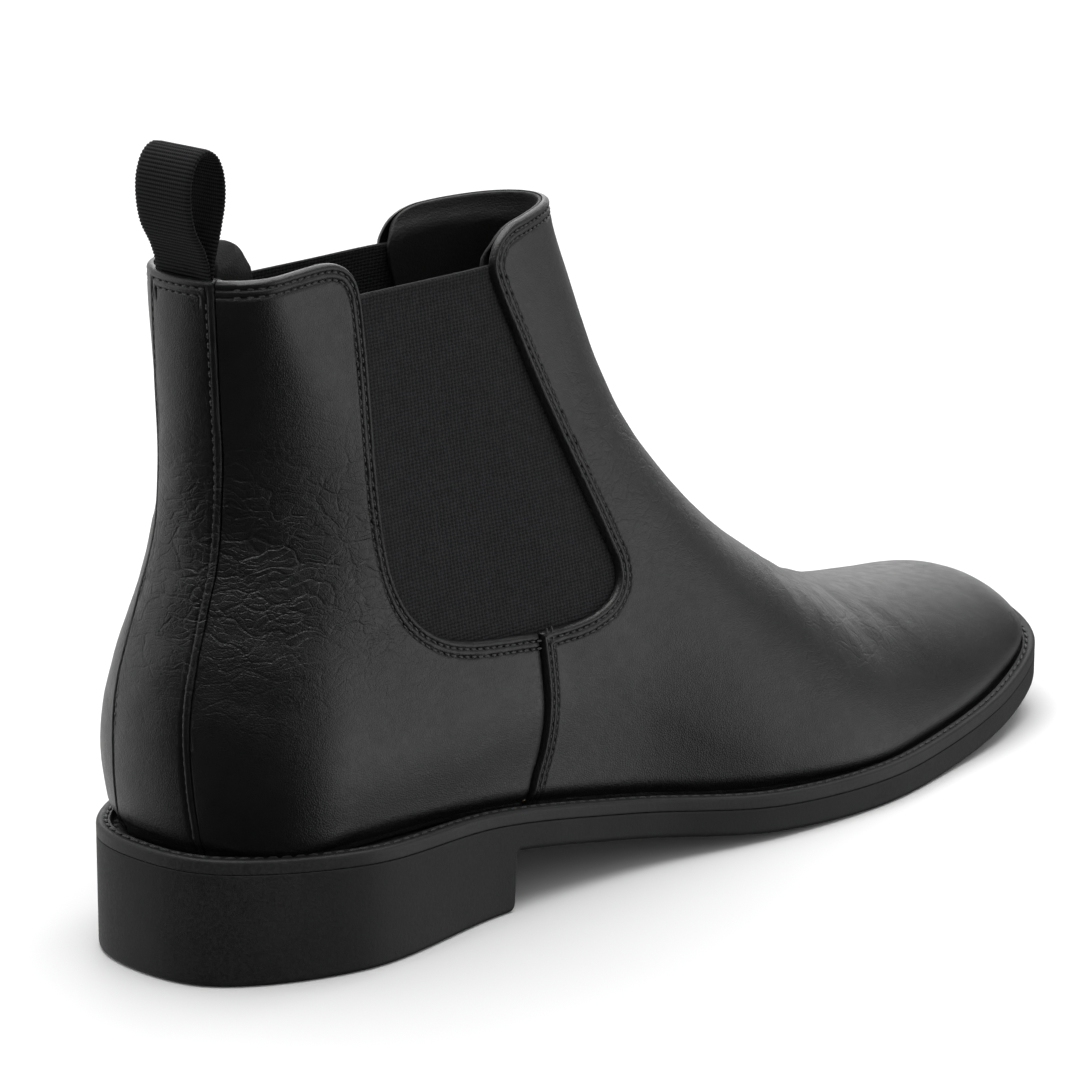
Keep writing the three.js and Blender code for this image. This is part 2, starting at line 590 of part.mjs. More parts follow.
/** The standing part of the pull loop is a teardrop in side view, and its round neck turns on the tail. */
function addPullLoop() {
  const neck = [];
  for (let i = 0; i <= NECK_STEPS; i += 1) {
    const angle = Math.PI * i / NECK_STEPS;
    neck.push([LOOP_NECK[0] + WEBBING * Math.cos(angle), LOOP_NECK[1] - WEBBING * Math.sin(angle)]);
  }
  const outer = [...LOOP_REAR, LOOP_CROWN, ...LOOP_FRONT, ...neck];
  const body = acrossBoot(outer, -LOOP_WIDTH / 2, LOOP_WIDTH / 2);
  const hollow = acrossBoot(LOOP_EYE, -LOOP_WIDTH, LOOP_WIDTH);
  addPart('pull_loop', body.subtract(hollow), BLACK_ELASTIC, 0.9);
  const tailTop = LOOP_NECK[1] - WEBBING - GAP;
  const [tailRear, tailFront] = TAIL_SPAN;
  const tail = [[tailRear, TAIL_FOOT], [tailFront, TAIL_FOOT], [tailFront, tailTop], [tailRear, tailTop]];
  const tailBlock = acrossBoot(tail, -LOOP_WIDTH / 2, LOOP_WIDTH / 2);
  addPart('pull_loop_tail', middleShell.intersect(tailBlock), BLACK_ELASTIC, 0.9);
}

addSole();
addSock();
addStiffeners();
addLeatherPanels();
addElastic();
addLining();
addPullLoop();

export default group;
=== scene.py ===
"""Looks of a black chelsea boot, right foot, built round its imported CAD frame.

Lengths in this file are millimetres from the rearmost point of the sole, +X to the toe, +Y to the inner
(medial) side and +Z up. place() turns them into the frame's metres.
"""
import math

import bpy
import numpy as np
from mathutils import Matrix, Vector


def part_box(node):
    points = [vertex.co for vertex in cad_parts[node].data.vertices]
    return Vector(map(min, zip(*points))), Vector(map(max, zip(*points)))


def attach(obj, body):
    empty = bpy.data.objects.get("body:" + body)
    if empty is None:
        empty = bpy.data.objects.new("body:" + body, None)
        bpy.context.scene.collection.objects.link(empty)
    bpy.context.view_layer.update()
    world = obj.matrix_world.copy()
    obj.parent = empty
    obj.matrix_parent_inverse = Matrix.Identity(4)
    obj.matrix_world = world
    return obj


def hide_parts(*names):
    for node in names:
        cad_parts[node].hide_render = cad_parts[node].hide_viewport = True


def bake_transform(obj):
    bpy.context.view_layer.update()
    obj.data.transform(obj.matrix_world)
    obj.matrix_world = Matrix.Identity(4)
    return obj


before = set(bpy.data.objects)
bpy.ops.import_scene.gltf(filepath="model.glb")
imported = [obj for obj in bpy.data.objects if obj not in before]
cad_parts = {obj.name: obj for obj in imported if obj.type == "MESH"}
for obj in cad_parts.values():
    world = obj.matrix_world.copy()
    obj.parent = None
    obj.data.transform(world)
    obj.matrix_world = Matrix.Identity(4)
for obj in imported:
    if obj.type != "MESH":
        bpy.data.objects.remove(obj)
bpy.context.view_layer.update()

MM = 0.001
BACK_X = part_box("welt")[0].x / MM  # the rearmost point of the sole, in the frame

# ---- driving dimensions, the same as the CAD part's ---------------------------------------------
GAP = 0.3
SOLE_THICKNESS = 10
WELT_THICKNESS = 3.3
WELT_WIDTH = 9.6
WELT_LEDGE = 4.5
LEATHER = 1.4
ELASTIC_OUT = 1.7
ELASTIC_IN = 2.9
LINING_OUT = 3.5
LINING_IN = 4.4
LINING_FRONT = 290
HEEL_LINING_FRONT = 40
BOARD_TOP = 2.5
SOCK_THICKNESS = 1.2
HEEL_PAD_RISE = 2.3
HEEL_PAD_FRONT = 78
PLATFORM_FRONT = 148
LOOP_WIDTH = 17
WEBBING = 1.3
BACK_STRIP_TOP = 9.7
BACK_STRIP_FOOT = 13.5
QUARTER_TOP = 155.6
BACK_TOP = 154.3
FRONT_TOP = 156.3
ELASTIC_TOP = 147
SEAM_TOP = (95.7, 63.4)
TAIL_FOOT = 124

SOLE_OUTLINE = [
    (0, 0), (5, -18.5), (35, -35.8), (80, -34.9), (125, -38.9), (165, -48.8), (200, -52.2), (230, -48.6),
    (262, -42.8), (285.6, -32.2), (297.8, -14.4), (302, 2.5), (297, 18.5), (285, 31.5), (262, 45), (230, 50),
    (200, 46.3), (165, 37), (125, 32), (80, 32.9), (35, 35.6), (5, 18.5),
]
SEAT = [(0, 30), (40, 27.8), (80, 24.9), (120, 18.4), (160, 11.9), (200, 10), (216, 10), (232, 10.6),
        (262, 14.4), (302, 22.6)]
RIDGE = [(297.5, 25.4), (297.3, 26.6), (289.7, 30.3), (275, 32.3), (250, 36.1), (225, 43.1), (200, 55.6),
         (176.7, 71.1), (156.6, 89.8), (141.6, 114), (133.2, 139), (128.4, 155), (127.5, 168)]
FAN_END = [-291.5, -280, -267.3, -257, -233, -204, -167, -122, -71, 4, 60.7, 111, 148]
FAN_CORNER_X = 6
FAN_CORNER_Z = 20
UNDER_SEAT = 10
FRONT_ROUND = [8.5, 10.5, 13.6, 21.8, 30.6, 42, 48, 54, 57, 56, 50, 45, 40]
FRONT_POWER = [2.2, 2.3, 2.4, 2.15, 1.95, 1.9, 1.85, 1.8, 1.85, 1.95, 2, 2, 2]
BACK_LINE = [(-20, 5.6), (28, 4.8), (45, 3.1), (62, 3.3), (80, 8.5), (95, 13.4), (110, 14.9), (130, 14.9),
             (150, 14.8), (172, 14.6)]
BACK_WIDTH = [(-20, 29), (28, 30.9), (45, 33.4), (65, 30.2), (85, 26.9), (110, 23.2), (130, 21.1),
              (150, 18.6), (172, 17.4)]
BACK_ROUND = [(-20, 28), (30, 27), (60, 33), (85, 38), (110, 37), (130, 26), (150, 15), (172, 16)]
BACK_POWER = 2.1
CENTRE_LINE = [(0, -0.4), (80, -1), (125, -3.4), (165, -6.4), (200, -3.8), (230, 0.5), (262, 1.7), (302, 4.2)]

# ---- detail that only the looks have ------------------------------------------------------------
ROW_1 = 1.8        # the two rows of stitching, from the panel's edge
ROW_2 = 3.5
STITCH_PITCH = 2.1
STITCH_LENGTH = 1.5
STITCH_RADIUS = 0.27
SEAM_LIFT = 0.5    # how far the vamp stands on the quarter at the side seam
STRIP_LIFT = 0.5   # and the back strip on both quarters
TUCK_HEIGHT = 4.5  # the upper turns in under itself over this height above the welt
TUCK_DEPTH = 1.5
LEATHER_SINK = 1.2  # and goes down into the trench behind the welt's stitching
TRENCH = 1.6
TURNED_EDGE = [(0, -1.25), (0.12, -0.72), (0.35, -0.26), (0.7, 0.03), (1.1, 0.12), (1.45, -0.02), (1.8, -0.5),
               (2.15, -0.02), (2.65, 0.12), (3.15, -0.02), (3.5, -0.5), (3.85, -0.05), (4.6, 0.03), (6.5, 0)]


def place(points):
    """Points of this file, as an array of the frame's metres."""
    return (np.asarray(points, float) + (BACK_X, 0, 0)) * MM


def spot(x, y, z):
    return Vector(place([(x, y, z)])[0])


# ---- curves -------------------------------------------------------------------------------------
def smooth(value):
    value = np.clip(value, 0, 1)
    return value * value * (3 - 2 * value)


def rounding(depth, power):
    """How far round the edge of a superellipse quarter: 0 at depth 0, 1 at full depth."""
    return (1 - (1 - np.clip(depth, 0, 1)) ** power) ** (1 / power)


def curve_through(points):
    """A smooth curve through points with rising x, as a function of x."""
    xs, ys = np.array(points, float).T
    spans = np.diff(xs)
    slopes = np.diff(ys) / spans
    tangents = np.concatenate([slopes[:1], np.zeros(len(xs) - 2), slopes[-1:]])
    tangents[1:-1] = (spans[1:] * slopes[:-1] + spans[:-1] * slopes[1:]) / (spans[1:] + spans[:-1])

    def at(x):
        x = np.clip(x, xs[0], xs[-1])
        i = np.clip(np.searchsorted(xs, x, side="right") - 1, 0, len(spans) - 1)
        span = spans[i]
        u = (x - xs[i]) / span
        return ((2 * u**3 - 3 * u**2 + 1) * ys[i] + (u**3 - 2 * u**2 + u) * span * tangents[i]
                + (3 * u**2 - 2 * u**3) * ys[i + 1] + (u**3 - u**2) * span * tangents[i + 1])

    return at


def smooth_line(points, closed=False, steps=12):
    """Points of a centripetal Catmull-Rom curve through the given points."""
    points = np.array(points, float)
    count = len(points)
    if closed:
        padded = np.concatenate([points[-1:], points, points[:2]])
    else:
        padded = np.concatenate([[2 * points[0] - points[1]], points, [2 * points[-1] - points[-2]]])
    out = []
    for i in range(count if closed else count - 1):
        p = padded[i:i + 4]
        d = [max(float(np.linalg.norm(p[k + 1] - p[k])), 1e-6) ** 0.5 for k in range(3)]
        m1 = ((p[1] - p[0]) / d[0] - (p[2] - p[0]) / (d[0] + d[1]) + (p[2] - p[1]) / d[1]) * d[1]
        m2 = ((p[2] - p[1]) / d[1] - (p[3] - p[1]) / (d[1] + d[2]) + (p[3] - p[2]) / d[2]) * d[1]
        for u in np.arange(steps) / steps:
            out.append((2 * u**3 - 3 * u**2 + 1) * p[1] + (u**3 - 2 * u**2 + u) * m1
                       + (3 * u**2 - 2 * u**3) * p[2] + (u**3 - u**2) * m2)
    if not closed:
        out.append(points[-1])
    return np.array(out)


def evenly(line, step):
    """The line again, with points about step apart, and the direction at each."""
    along = np.concatenate([[0], np.cumsum(np.linalg.norm(np.diff(line, axis=0), axis=1))])
    at = np.linspace(0, along[-1], max(2, round(along[-1] / step) + 1))
    points = np.stack([np.interp(at, along, line[:, k]) for k in range(line.shape[1])], axis=1)
    heading = np.gradient(points, axis=0)
    return points, heading / np.linalg.norm(heading, axis=1)[:, None]


def bend(start, corner, end, steps=10):
    u = np.linspace(0, 1, steps + 1)[:, None]
    start, corner, end = (np.array(p, float) for p in (start, corner, end))
    return list(map(tuple, (1 - u) ** 2 * start + 2 * u * (1 - u) * corner + u * u * end))


outline = smooth_line(SOLE_OUTLINE, closed=True, steps=30)
outline, _ = evenly(np.concatenate([outline, outline[:1]]), 1.0)
outline = outline[:-1]
outline_heading = np.roll(outline, -1, axis=0) - np.roll(outline, 1, axis=0)
outline_heading /= np.linalg.norm(outline_heading, axis=1)[:, None]
inward = np.stack([-outline_heading[:, 1], outline_heading[:, 0]], axis=1)
footprint = outline + WELT_LEDGE * inward
toe = int(footprint[:, 0].argmax())
lateral_edge = footprint[:toe + 1]
medial_edge = np.concatenate([footprint[toe:], footprint[:1]])[::-1]

along_stations = np.zeros(len(RIDGE))
along_stations[1:] = np.linalg.norm(np.diff(np.array(RIDGE, float), axis=0), axis=1) + np.diff(FAN_END)
STATIONS = np.cumsum(along_stations) / along_stations.sum()
ridge_x = curve_through(list(zip(STATIONS, [p[0] for p in RIDGE])))
ridge_z = curve_through(list(zip(STATIONS, [p[1] for p in RIDGE])))
fan_end = curve_through(list(zip(STATIONS, FAN_END)))
front_round = curve_through(list(zip(STATIONS, FRONT_ROUND)))
front_power = curve_through(list(zip(STATIONS, FRONT_POWER)))
seat_z = curve_through(SEAT)
back_x = curve_through(BACK_LINE)
back_width = curve_through(BACK_WIDTH)
back_round = curve_through(BACK_ROUND)
centre_line = curve_through(CENTRE_LINE)


def edge_y(x, side):
    x = np.clip(x, 50, 297.5)
    return np.where(side < 0, np.interp(x, *lateral_edge.T), np.interp(x, *medial_edge.T))


# ---- the surface of the upper -------------------------------------------------------------------
def fan_line(s):
    end = fan_end(s)
    x = np.where(end < 0, FAN_CORNER_X - end, back_x(FAN_CORNER_Z + end))
    z = np.where(end < 0, seat_z(x) - UNDER_SEAT, FAN_CORNER_Z + end)
    return ridge_x(s), ridge_z(s), np.minimum(x, RIDGE[0][0]), z


def upper_point(p):
    """Points of the upper's outer surface. p holds stations, from 0 at the toe to 1 at the top, and turns
    round the boot: 0 on the front line, below zero on the lateral side, half a turn (pi) on the back line."""
    s = np.clip(p[:, 0], 0, 1)
    turn = (p[:, 1] + math.pi) % (2 * math.pi) - math.pi
    side = np.where(turn < 0, -1, 1)
    t = (1 - np.cos(turn)) / 2
    top_x, top_z, end_x, end_z = fan_line(s)
    x = top_x + (end_x - top_x) * t
    z = top_z + (end_z - top_z) * t
    run = np.hypot(end_x - top_x, end_z - top_z) * t
    back_share = rounding((x - back_x(z)) / back_round(z), BACK_POWER)
    front_share = rounding(run / front_round(s), front_power(s))
    forward = smooth((x - (55 + 0.45 * np.maximum(z - 28, 0))) / 80)
    lean = centre_line(x) * smooth((150 - z) / 70)
    swell = 1 + 0.055 * smooth((x - 150) / 60)
    front = np.maximum(0, side * (edge_y(x, side) - centre_line(x))) * swell
    half = (back_width(z) * (1 - forward) + front * forward) * back_share * front_share
    half = np.where(s <= 0, 0, half)
    return np.stack([x, lean + side * half, z], axis=1)


def upper_normal(p):
    step = 2e-3
    along = upper_point(p + (step, 0)) - upper_point(p - (step, 0))
    around = upper_point(p + (0, step)) - upper_point(p - (0, step))
    normal = np.cross(around, along)
    return normal / np.maximum(np.linalg.norm(normal, axis=1), 1e-9)[:, None]


def locate(xz, side):
    """Where on the upper the points (x, z) of the side view lie, on side -1 (lateral) or 1."""
    low = np.zeros(len(xz))
    high = np.ones(len(xz))
    for _ in range(30):
        middle = (low + high) / 2
        top_x, top_z, end_x, end_z = fan_line(middle)
        above = ((end_x - top_x) * (xz[:, 1] - top_z) - (end_z - top_z) * (xz[:, 0] - top_x)) < 0
        low = np.where(above, middle, low)
        high = np.where(above, high, middle)
    top_x, top_z, end_x, end_z = fan_line(middle)
    reach = np.hypot(end_x - top_x, end_z - top_z)
    t = np.clip(np.hypot(xz[:, 0] - top_x, xz[:, 1] - top_z) / reach, 0, 1)
    t = np.where(xz[:, 0] > ridge_x(middle), 0, t)
    return np.stack([middle, side * np.arccos(1 - 2 * t)], axis=1)


# ---- smooth noise, for the leather's broad unevenness -------------------------------------------
LATTICE = np.random.default_rng(7).random((32, 32, 32)) * 2 - 1


def noise(points, size):
    """Smooth noise between -1 and 1, with features about size millimetres across."""
    q = np.asarray(points, float) / size
    cell = np.floor(q).astype(int)
    f = smooth(q - cell)
    total = np.zeros(len(q))
    for corner in np.ndindex(2, 2, 2):
        weight = np.prod(np.where(corner, f, 1 - f), axis=1)
        total += weight * LATTICE[tuple(((cell + corner) % 32).T)]
    return total


# ---- cutting a triangle mesh along a field ------------------------------------------------------
def grid(u_values, v_values):
    """A triangulated grid of parameters."""
    u, v = np.meshgrid(u_values, v_values, indexing="ij")
    columns = len(v_values)
    a = (np.arange(len(u_values) - 1)[:, None] * columns + np.arange(columns - 1)).ravel()
    triangles = np.concatenate([np.stack([a, a + columns, a + 1], 1),
                                np.stack([a + 1, a + columns, a + columns + 1], 1)])
    return np.stack([u.ravel(), v.ravel()], axis=1), triangles


def tidy(params, triangles):
    """The same triangles without the points that none of them uses."""
    used, triangles = np.unique(triangles, return_inverse=True)
    return params[used], triangles.reshape(-1, 3)


def cut(params, triangles, field, levels, keep="all"):
    """Splits triangles along each level of a field of the parameters. keep "above" drops what is below the
    first level, and keep "below" what is above it."""
    value = field(params)
    for number, level in enumerate(levels):
        off = value - level
        off[np.abs(off) < 1e-6] = 1e-6
        above = off > 0
        count = above[triangles].sum(1)
        mixed = triangles[(count == 1) | (count == 2)]
        alone = above[mixed]
        alone = np.where((alone.sum(1) == 2)[:, None], ~alone, alone)
        order = (alone.argmax(1)[:, None] + np.arange(3)) % 3
        a, b, c = np.take_along_axis(mixed, order, 1).T
        edges = np.sort(np.concatenate([np.stack([a, b], 1), np.stack([a, c], 1)]), axis=1)
        edges, where = np.unique(edges, axis=0, return_inverse=True)
        where = where.ravel()
        one, two = params[edges[:, 0]], params[edges[:, 1]]
        low, high = np.zeros(len(edges)), np.ones(len(edges))
        off_low, off_high = off[edges[:, 0]].copy(), off[edges[:, 1]].copy()
        share = low
        for _ in range(4):
            share = low + (high - low) * off_low / (off_low - off_high)
            off_here = field(one + share[:, None] * (two - one)) - level
            same = np.sign(off_here) == np.sign(off_low)
            low = np.where(same, share, low)
            off_low = np.where(same, off_here, off_low)
            high = np.where(same, high, share)
            off_high = np.where(same, off_high, np.where(off_here == 0, -1e-9 * np.sign(off_low), off_here))
        fresh = len(params) + where
        ab, ac = fresh[:len(a)], fresh[len(a):]
        params = np.concatenate([params, one + share[:, None] * (two - one)])
        value = np.concatenate([value, np.full(len(edges), float(level))])
        above = np.concatenate([above, np.zeros(len(edges), bool)])
        corner = np.stack([a, ab, ac], 1)
        rest = np.concatenate([np.stack([ab, b, c], 1), np.stack([ab, c, ac], 1)])
        corner_above = above[a]
        rest_above = np.tile(~corner_above, 2)
        whole = triangles[(count == 0) | (count == 3)]
        whole_above = above[whole[:, 0]]
        if number == 0 and keep == "above":
            corner, rest, whole = corner[corner_above], rest[rest_above], whole[whole_above]
        if number == 0 and keep == "below":
            corner, rest, whole = corner[~corner_above], rest[~rest_above], whole[~whole_above]
        triangles = np.concatenate([whole, corner, rest])
    return tidy(params, triangles)


def line_distance(points, line):
    """Distance from each point to a line of points, all in one plane."""
    best = np.full(len(points), np.inf)
    for a, b in zip(line[:-1], line[1:]):
        d = b - a
        t = np.clip(((points - a) @ d) / max(float(d @ d), 1e-12), 0, 1)
        off = points - a - t[:, None] * d
        best = np.minimum(best, off[:, 0] ** 2 + off[:, 1] ** 2)
    return np.sqrt(best)


def inside_distance(points, loop):
    """Distance to a closed outline, above zero inside it."""
    ring = np.concatenate([loop, loop[:1]])
    inside = np.zeros(len(points), bool)
    for a, b in zip(ring[:-1], ring[1:]):
        if a[1] == b[1]:
            continue
        crosses = (a[1] > points[:, 1]) != (b[1] > points[:, 1])
        inside ^= crosses & (points[:, 0] < a[0] + (points[:, 1] - a[1]) * (b[0] - a[0]) / (b[1] - a[1]))
    return np.where(inside, 1, -1) * line_distance(points, ring)


# ---- pieces -------------------------------------------------------------------------------------
def add_mesh(name, points, triangles, slot_name, attributes=None, body="boot", finish=None):
    """A smooth-shaded piece from points in millimetres, with its material slot, its body, and its finish
    where that isn't the slot's own."""
    mesh = bpy.data.meshes.new(name)
    corners = np.ascontiguousarray(triangles, np.int32)
    mesh.vertices.add(len(points))
    mesh.vertices.foreach_set("co", place(points).astype(np.float32).ravel())
    mesh.loops.add(corners.size)
    mesh.loops.foreach_set("vertex_index", corners.ravel())
    mesh.polygons.add(len(corners))
    mesh.polygons.foreach_set("loop_start", np.arange(0, corners.size, 3, dtype=np.int32))
    mesh.polygons.foreach_set("use_smooth", np.ones(len(corners), bool))
    mesh.update(calc_edges=True)
    mesh.validate()
    for key, values in (attributes or {}).items():
        kind = "FLOAT_VECTOR" if np.ndim(values) == 2 else "FLOAT"
        attribute = mesh.attributes.new(key, kind, "POINT")
        attribute.data.foreach_set("vector" if kind == "FLOAT_VECTOR" else "value",
                                   np.asarray(values, np.float32).ravel())
    piece = bpy.data.objects.new(name, mesh)
    bpy.context.scene.collection.objects.link(piece)
    mesh.materials.append(materials[finish or slot_name])
    if body:
        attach(piece, body)
    return piece


def rim_of(triangles, count):
    """The edges that only one triangle has, in that triangle's direction."""
    edges = np.concatenate([triangles[:, [0, 1]], triangles[:, [1, 2]], triangles[:, [2, 0]]])
    keys = np.sort(edges, axis=1) @ np.array([count, 1])
    _, first, times = np.unique(keys, return_index=True, return_counts=True)
    return edges[first[times == 1]]


def closed_shell(outer, inner, triangles):
    """Points and triangles of a solid between two faces with the same triangles."""
    count = len(outer)
    a, b = rim_of(triangles, count).T
    faces = np.concatenate([triangles, triangles[:, ::-1] + count,
                            np.stack([b, a, a + count], 1), np.stack([b, a + count, b + count], 1)])
    return np.concatenate([outer, inner]), faces


STATION_STEPS = 220
TURN_STEPS = 180


def stations(first=0.0):
    share = np.linspace(0, 1, STATION_STEPS + 1) ** 1.25
    return np.unique(np.concatenate([[first], share[share > first]]))


def side_view(p):
    return upper_point(p)[:, [0, 2]]


def above_seat(p):
    """Height above the leather's lower edge, which stands down in the trench behind the welt's stitching."""
    xz = side_view(p)
    return xz[:, 1] - seat_z(xz[:, 0]) + LEATHER_SINK


def tuck(p):
    """How far the upper turns in just above the welt."""
    height = above_seat(p) - LEATHER_SINK
    return -TUCK_DEPTH * np.clip(1 - height / TUCK_HEIGHT, 0, 1) ** 2.2


def unevenness(points):
    """The broad softness of worn-in leather: faint hollows all over, deeper where the ankle and toes flex."""
    x, y, z = points.T
    ankle = np.exp(-((z - 92) / 30) ** 2) * smooth((88 - x) / 40)
    flex = np.exp(-((x - 212) / 26) ** 2) * smooth((z - 22) / 12)
    instep = np.exp(-((z - 105) / 24) ** 2) * smooth((x - 108) / 12)
    slanted = points @ np.array([[1, 0, 0.35], [0, 1, 0], [-0.5, 0, 1]])
    soft = 0.16 * noise(points, 24) + 0.07 * noise(points, 11)
    large = 0.55 * noise(slanted * (0.55, 1, 1.5), 13)
    small = 0.24 * noise(slanted * (0.5, 1, 1.7), 6.5)
    creased = ankle * (large + small)
    rolled = flex * (0.55 * noise(points * (1.6, 0.5, 0.6), 12) + 0.2 * noise(points * (2.0, 0.7, 0.8), 7))
    folded = instep * 0.3 * noise(points * (0.6, 0.8, 1.6), 12)
    return soft + creased + rolled + folded


def turned(distance):
    return np.interp(distance, *np.array(TURNED_EDGE).T)


TURNED_LEVELS = [d for d, _ in TURNED_EDGE[1:]]
TUCK_LEVELS = [1.2, 1.8, 2.6, 3.6]  # rows of points where the leather turns in

seam_line = smooth_line([
    (91, 12), (92.2, 20), (93.6, 28), (95.6, 36), (96.2, 44), (96, 54), SEAM_TOP], steps=8)
vamp_opening = smooth_line([
    SEAM_TOP, *bend((108, 63.2), (129.5, 64.4), (121.6, 79), 5), (110.2, 106.7), (101.6, 127),
    *bend((94.4, 146), (95.6, 154.4), (108, 154.9), 5), (122, 155.8), (140, FRONT_TOP),
    (180, FRONT_TOP)], steps=8)
quarter_opening = smooth_line([
    SEAM_TOP, *bend((74, 66.2), (53, 70.5), (51.9, 92), 5), (52, 119),
    *bend((52.2, 146), (51.8, 155), (42, QUARTER_TOP), 5), (28, 155.1), (14, 154.6),
    (-12, BACK_TOP - 0.4)], steps=8)
quarter_opening = quarter_opening - (GAP, 0) * smooth((quarter_opening[:, :1] - 70) / 20)
vamp_edge = np.concatenate([seam_line[:-1], vamp_opening])
quarter_edge = np.concatenate([seam_line[:-1] - (GAP, 0), quarter_opening])
vamp_loop = np.concatenate([vamp_edge, [(320, FRONT_TOP), (320, -20), (91, -20)]])
quarter_loop = np.concatenate([quarter_edge, [(-20, BACK_TOP), (-20, -20), (91 - GAP, -20)]])
ELASTIC_LAP = 6
elastic_loop = smooth_line([
    (52.3 - ELASTIC_LAP, ELASTIC_TOP), (51.9 - ELASTIC_LAP, 90), *bend((50, 76), (54, 62), (74, 59.5), 4),
    (104, 57.5), *bend((112, 57.5), (134, 60), (128, 78), 4), (116.5, 107), (108, 127),
    (99.5, ELASTIC_TOP - 0.5)])


def strip_half_width(z):
    widths = [BACK_STRIP_FOOT, BACK_STRIP_FOOT, BACK_STRIP_TOP + 0.6, BACK_STRIP_TOP]
    return np.interp(z, [10, 35, 100, 175], widths)


def finish_leather(name, p, triangles, edge_distance, lift, node):
    """A leather panel: turned edges with stitching grooves, tucked in above the welt."""
    points = upper_point(p)
    normal = upper_normal(p)
    distance = edge_distance(p)
    calm = smooth((distance - 1) / 5)
    raised = lift(p)
    outer = turned(distance) + raised + tuck(p) + calm * unevenness(points)
    inner = -LEATHER + raised + tuck(p)
    solid, faces = closed_shell(points + outer[:, None] * normal, points + inner[:, None] * normal, triangles)
    x, _, z = points.T
    ankle = np.exp(-((z - 92) / 26) ** 2) * smooth((86 - x) / 30)
    front = np.exp(-((z - 100) / 26) ** 2) * smooth((x - 112) / 10) * 0.7
    flex = np.exp(-((x - 212) / 30) ** 2) * smooth((z - 24) / 10) * 0.5
    crease = np.clip(ankle + front + flex, 0, 1)
    both = {"edge_distance": np.tile(distance, 2), "crease": np.tile(crease, 2)}
    piece = add_mesh(name, solid, faces, "upper_leather", both)
    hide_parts(node)
    return piece


def add_vamp():
    p, triangles = grid(stations(), np.linspace(-math.pi, math.pi, 2 * TURN_STEPS + 1))
    p, triangles = cut(p, triangles, above_seat, [0], "above")
    p, triangles = cut(p, triangles, lambda q: inside_distance(side_view(q), vamp_loop), [0], "above")
    edge = lambda q: line_distance(side_view(q), vamp_edge)
    p, triangles = cut(p, triangles, edge, TURNED_LEVELS)
    p, triangles = cut(p, triangles, above_seat, TUCK_LEVELS)
    seam = lambda q: SEAM_LIFT * smooth(1 - line_distance(side_view(q), seam_line) / 9)
    finish_leather("vamp_leather", p, triangles, edge, seam, "vamp")


def turns_on(side, first, last, steps):
    """Turns on one side of the boot, in the order that makes the triangles face out."""
    turns = np.linspace(first, last, steps) * side
    return turns if side > 0 else turns[::-1]


def add_quarter(name, side):
    p, triangles = grid(stations(0.2), turns_on(side, 0.02, math.pi, TURN_STEPS))
    behind = lambda q: np.abs(upper_point(q)[:, 1]) - strip_half_width(upper_point(q)[:, 2]) - 0.1
    p, triangles = cut(p, triangles, above_seat, [0], "above")
    p, triangles = cut(p, triangles, lambda q: inside_distance(side_view(q), quarter_loop), [0], "above")
    p, triangles = cut(p, triangles, behind, [0], "above")
    edge = lambda q: line_distance(side_view(q), quarter_opening)
    p, triangles = cut(p, triangles, edge, TURNED_LEVELS)
    p, triangles = cut(p, triangles, above_seat, TUCK_LEVELS)
    seam = lambda q: -0.45 * smooth(1 - line_distance(side_view(q), seam_line) / 2.5)
    p, triangles = cut(p, triangles, lambda q: line_distance(side_view(q), seam_line), [0.8, 1.6, 2.5])
    finish_leather(name + "_leather", p, triangles, edge, seam, name)


def add_back_strip():
    turns = np.linspace(math.pi - 1.3, math.pi + 1.3, 130)
    p, triangles = grid(stations(0.35), turns)
    within = lambda q: strip_half_width(upper_point(q)[:, 2]) - np.abs(upper_point(q)[:, 1])
    top = lambda q: BACK_TOP + 0.5 - upper_point(q)[:, 2]
    p, triangles = cut(p, triangles, lambda q: 40 - upper_point(q)[:, 0], [0], "above")
    p, triangles = cut(p, triangles, above_seat, [0], "above")
    p, triangles = cut(p, triangles, within, [0], "above")
    p, triangles = cut(p, triangles, top, [0], "above")
    edge = lambda q: np.minimum(within(q), top(q))
    p, triangles = cut(p, triangles, edge, TURNED_LEVELS)
    p, triangles = cut(p, triangles, above_seat, TUCK_LEVELS)
    only_one_row = lambda q: np.where(top(q) < 6, edge(q), np.where(within(q) < 2.4, within(q), 9))
    lift = lambda q: np.full(len(q), STRIP_LIFT)
    finish_leather("back_strip_leather", p, triangles, only_one_row, lift, "back_strip")


# The elastic's woven top edge: depth below it, and how far the surface stands out there.
HEM_RELIEF = [(0, -0.3), (0.2, 0.1), (0.5, 0.25), (0.9, 0.22), (1.6, 0.05), (2.6, 0), (3.0, -0.14), (3.4, 0),
              (4, 0)]


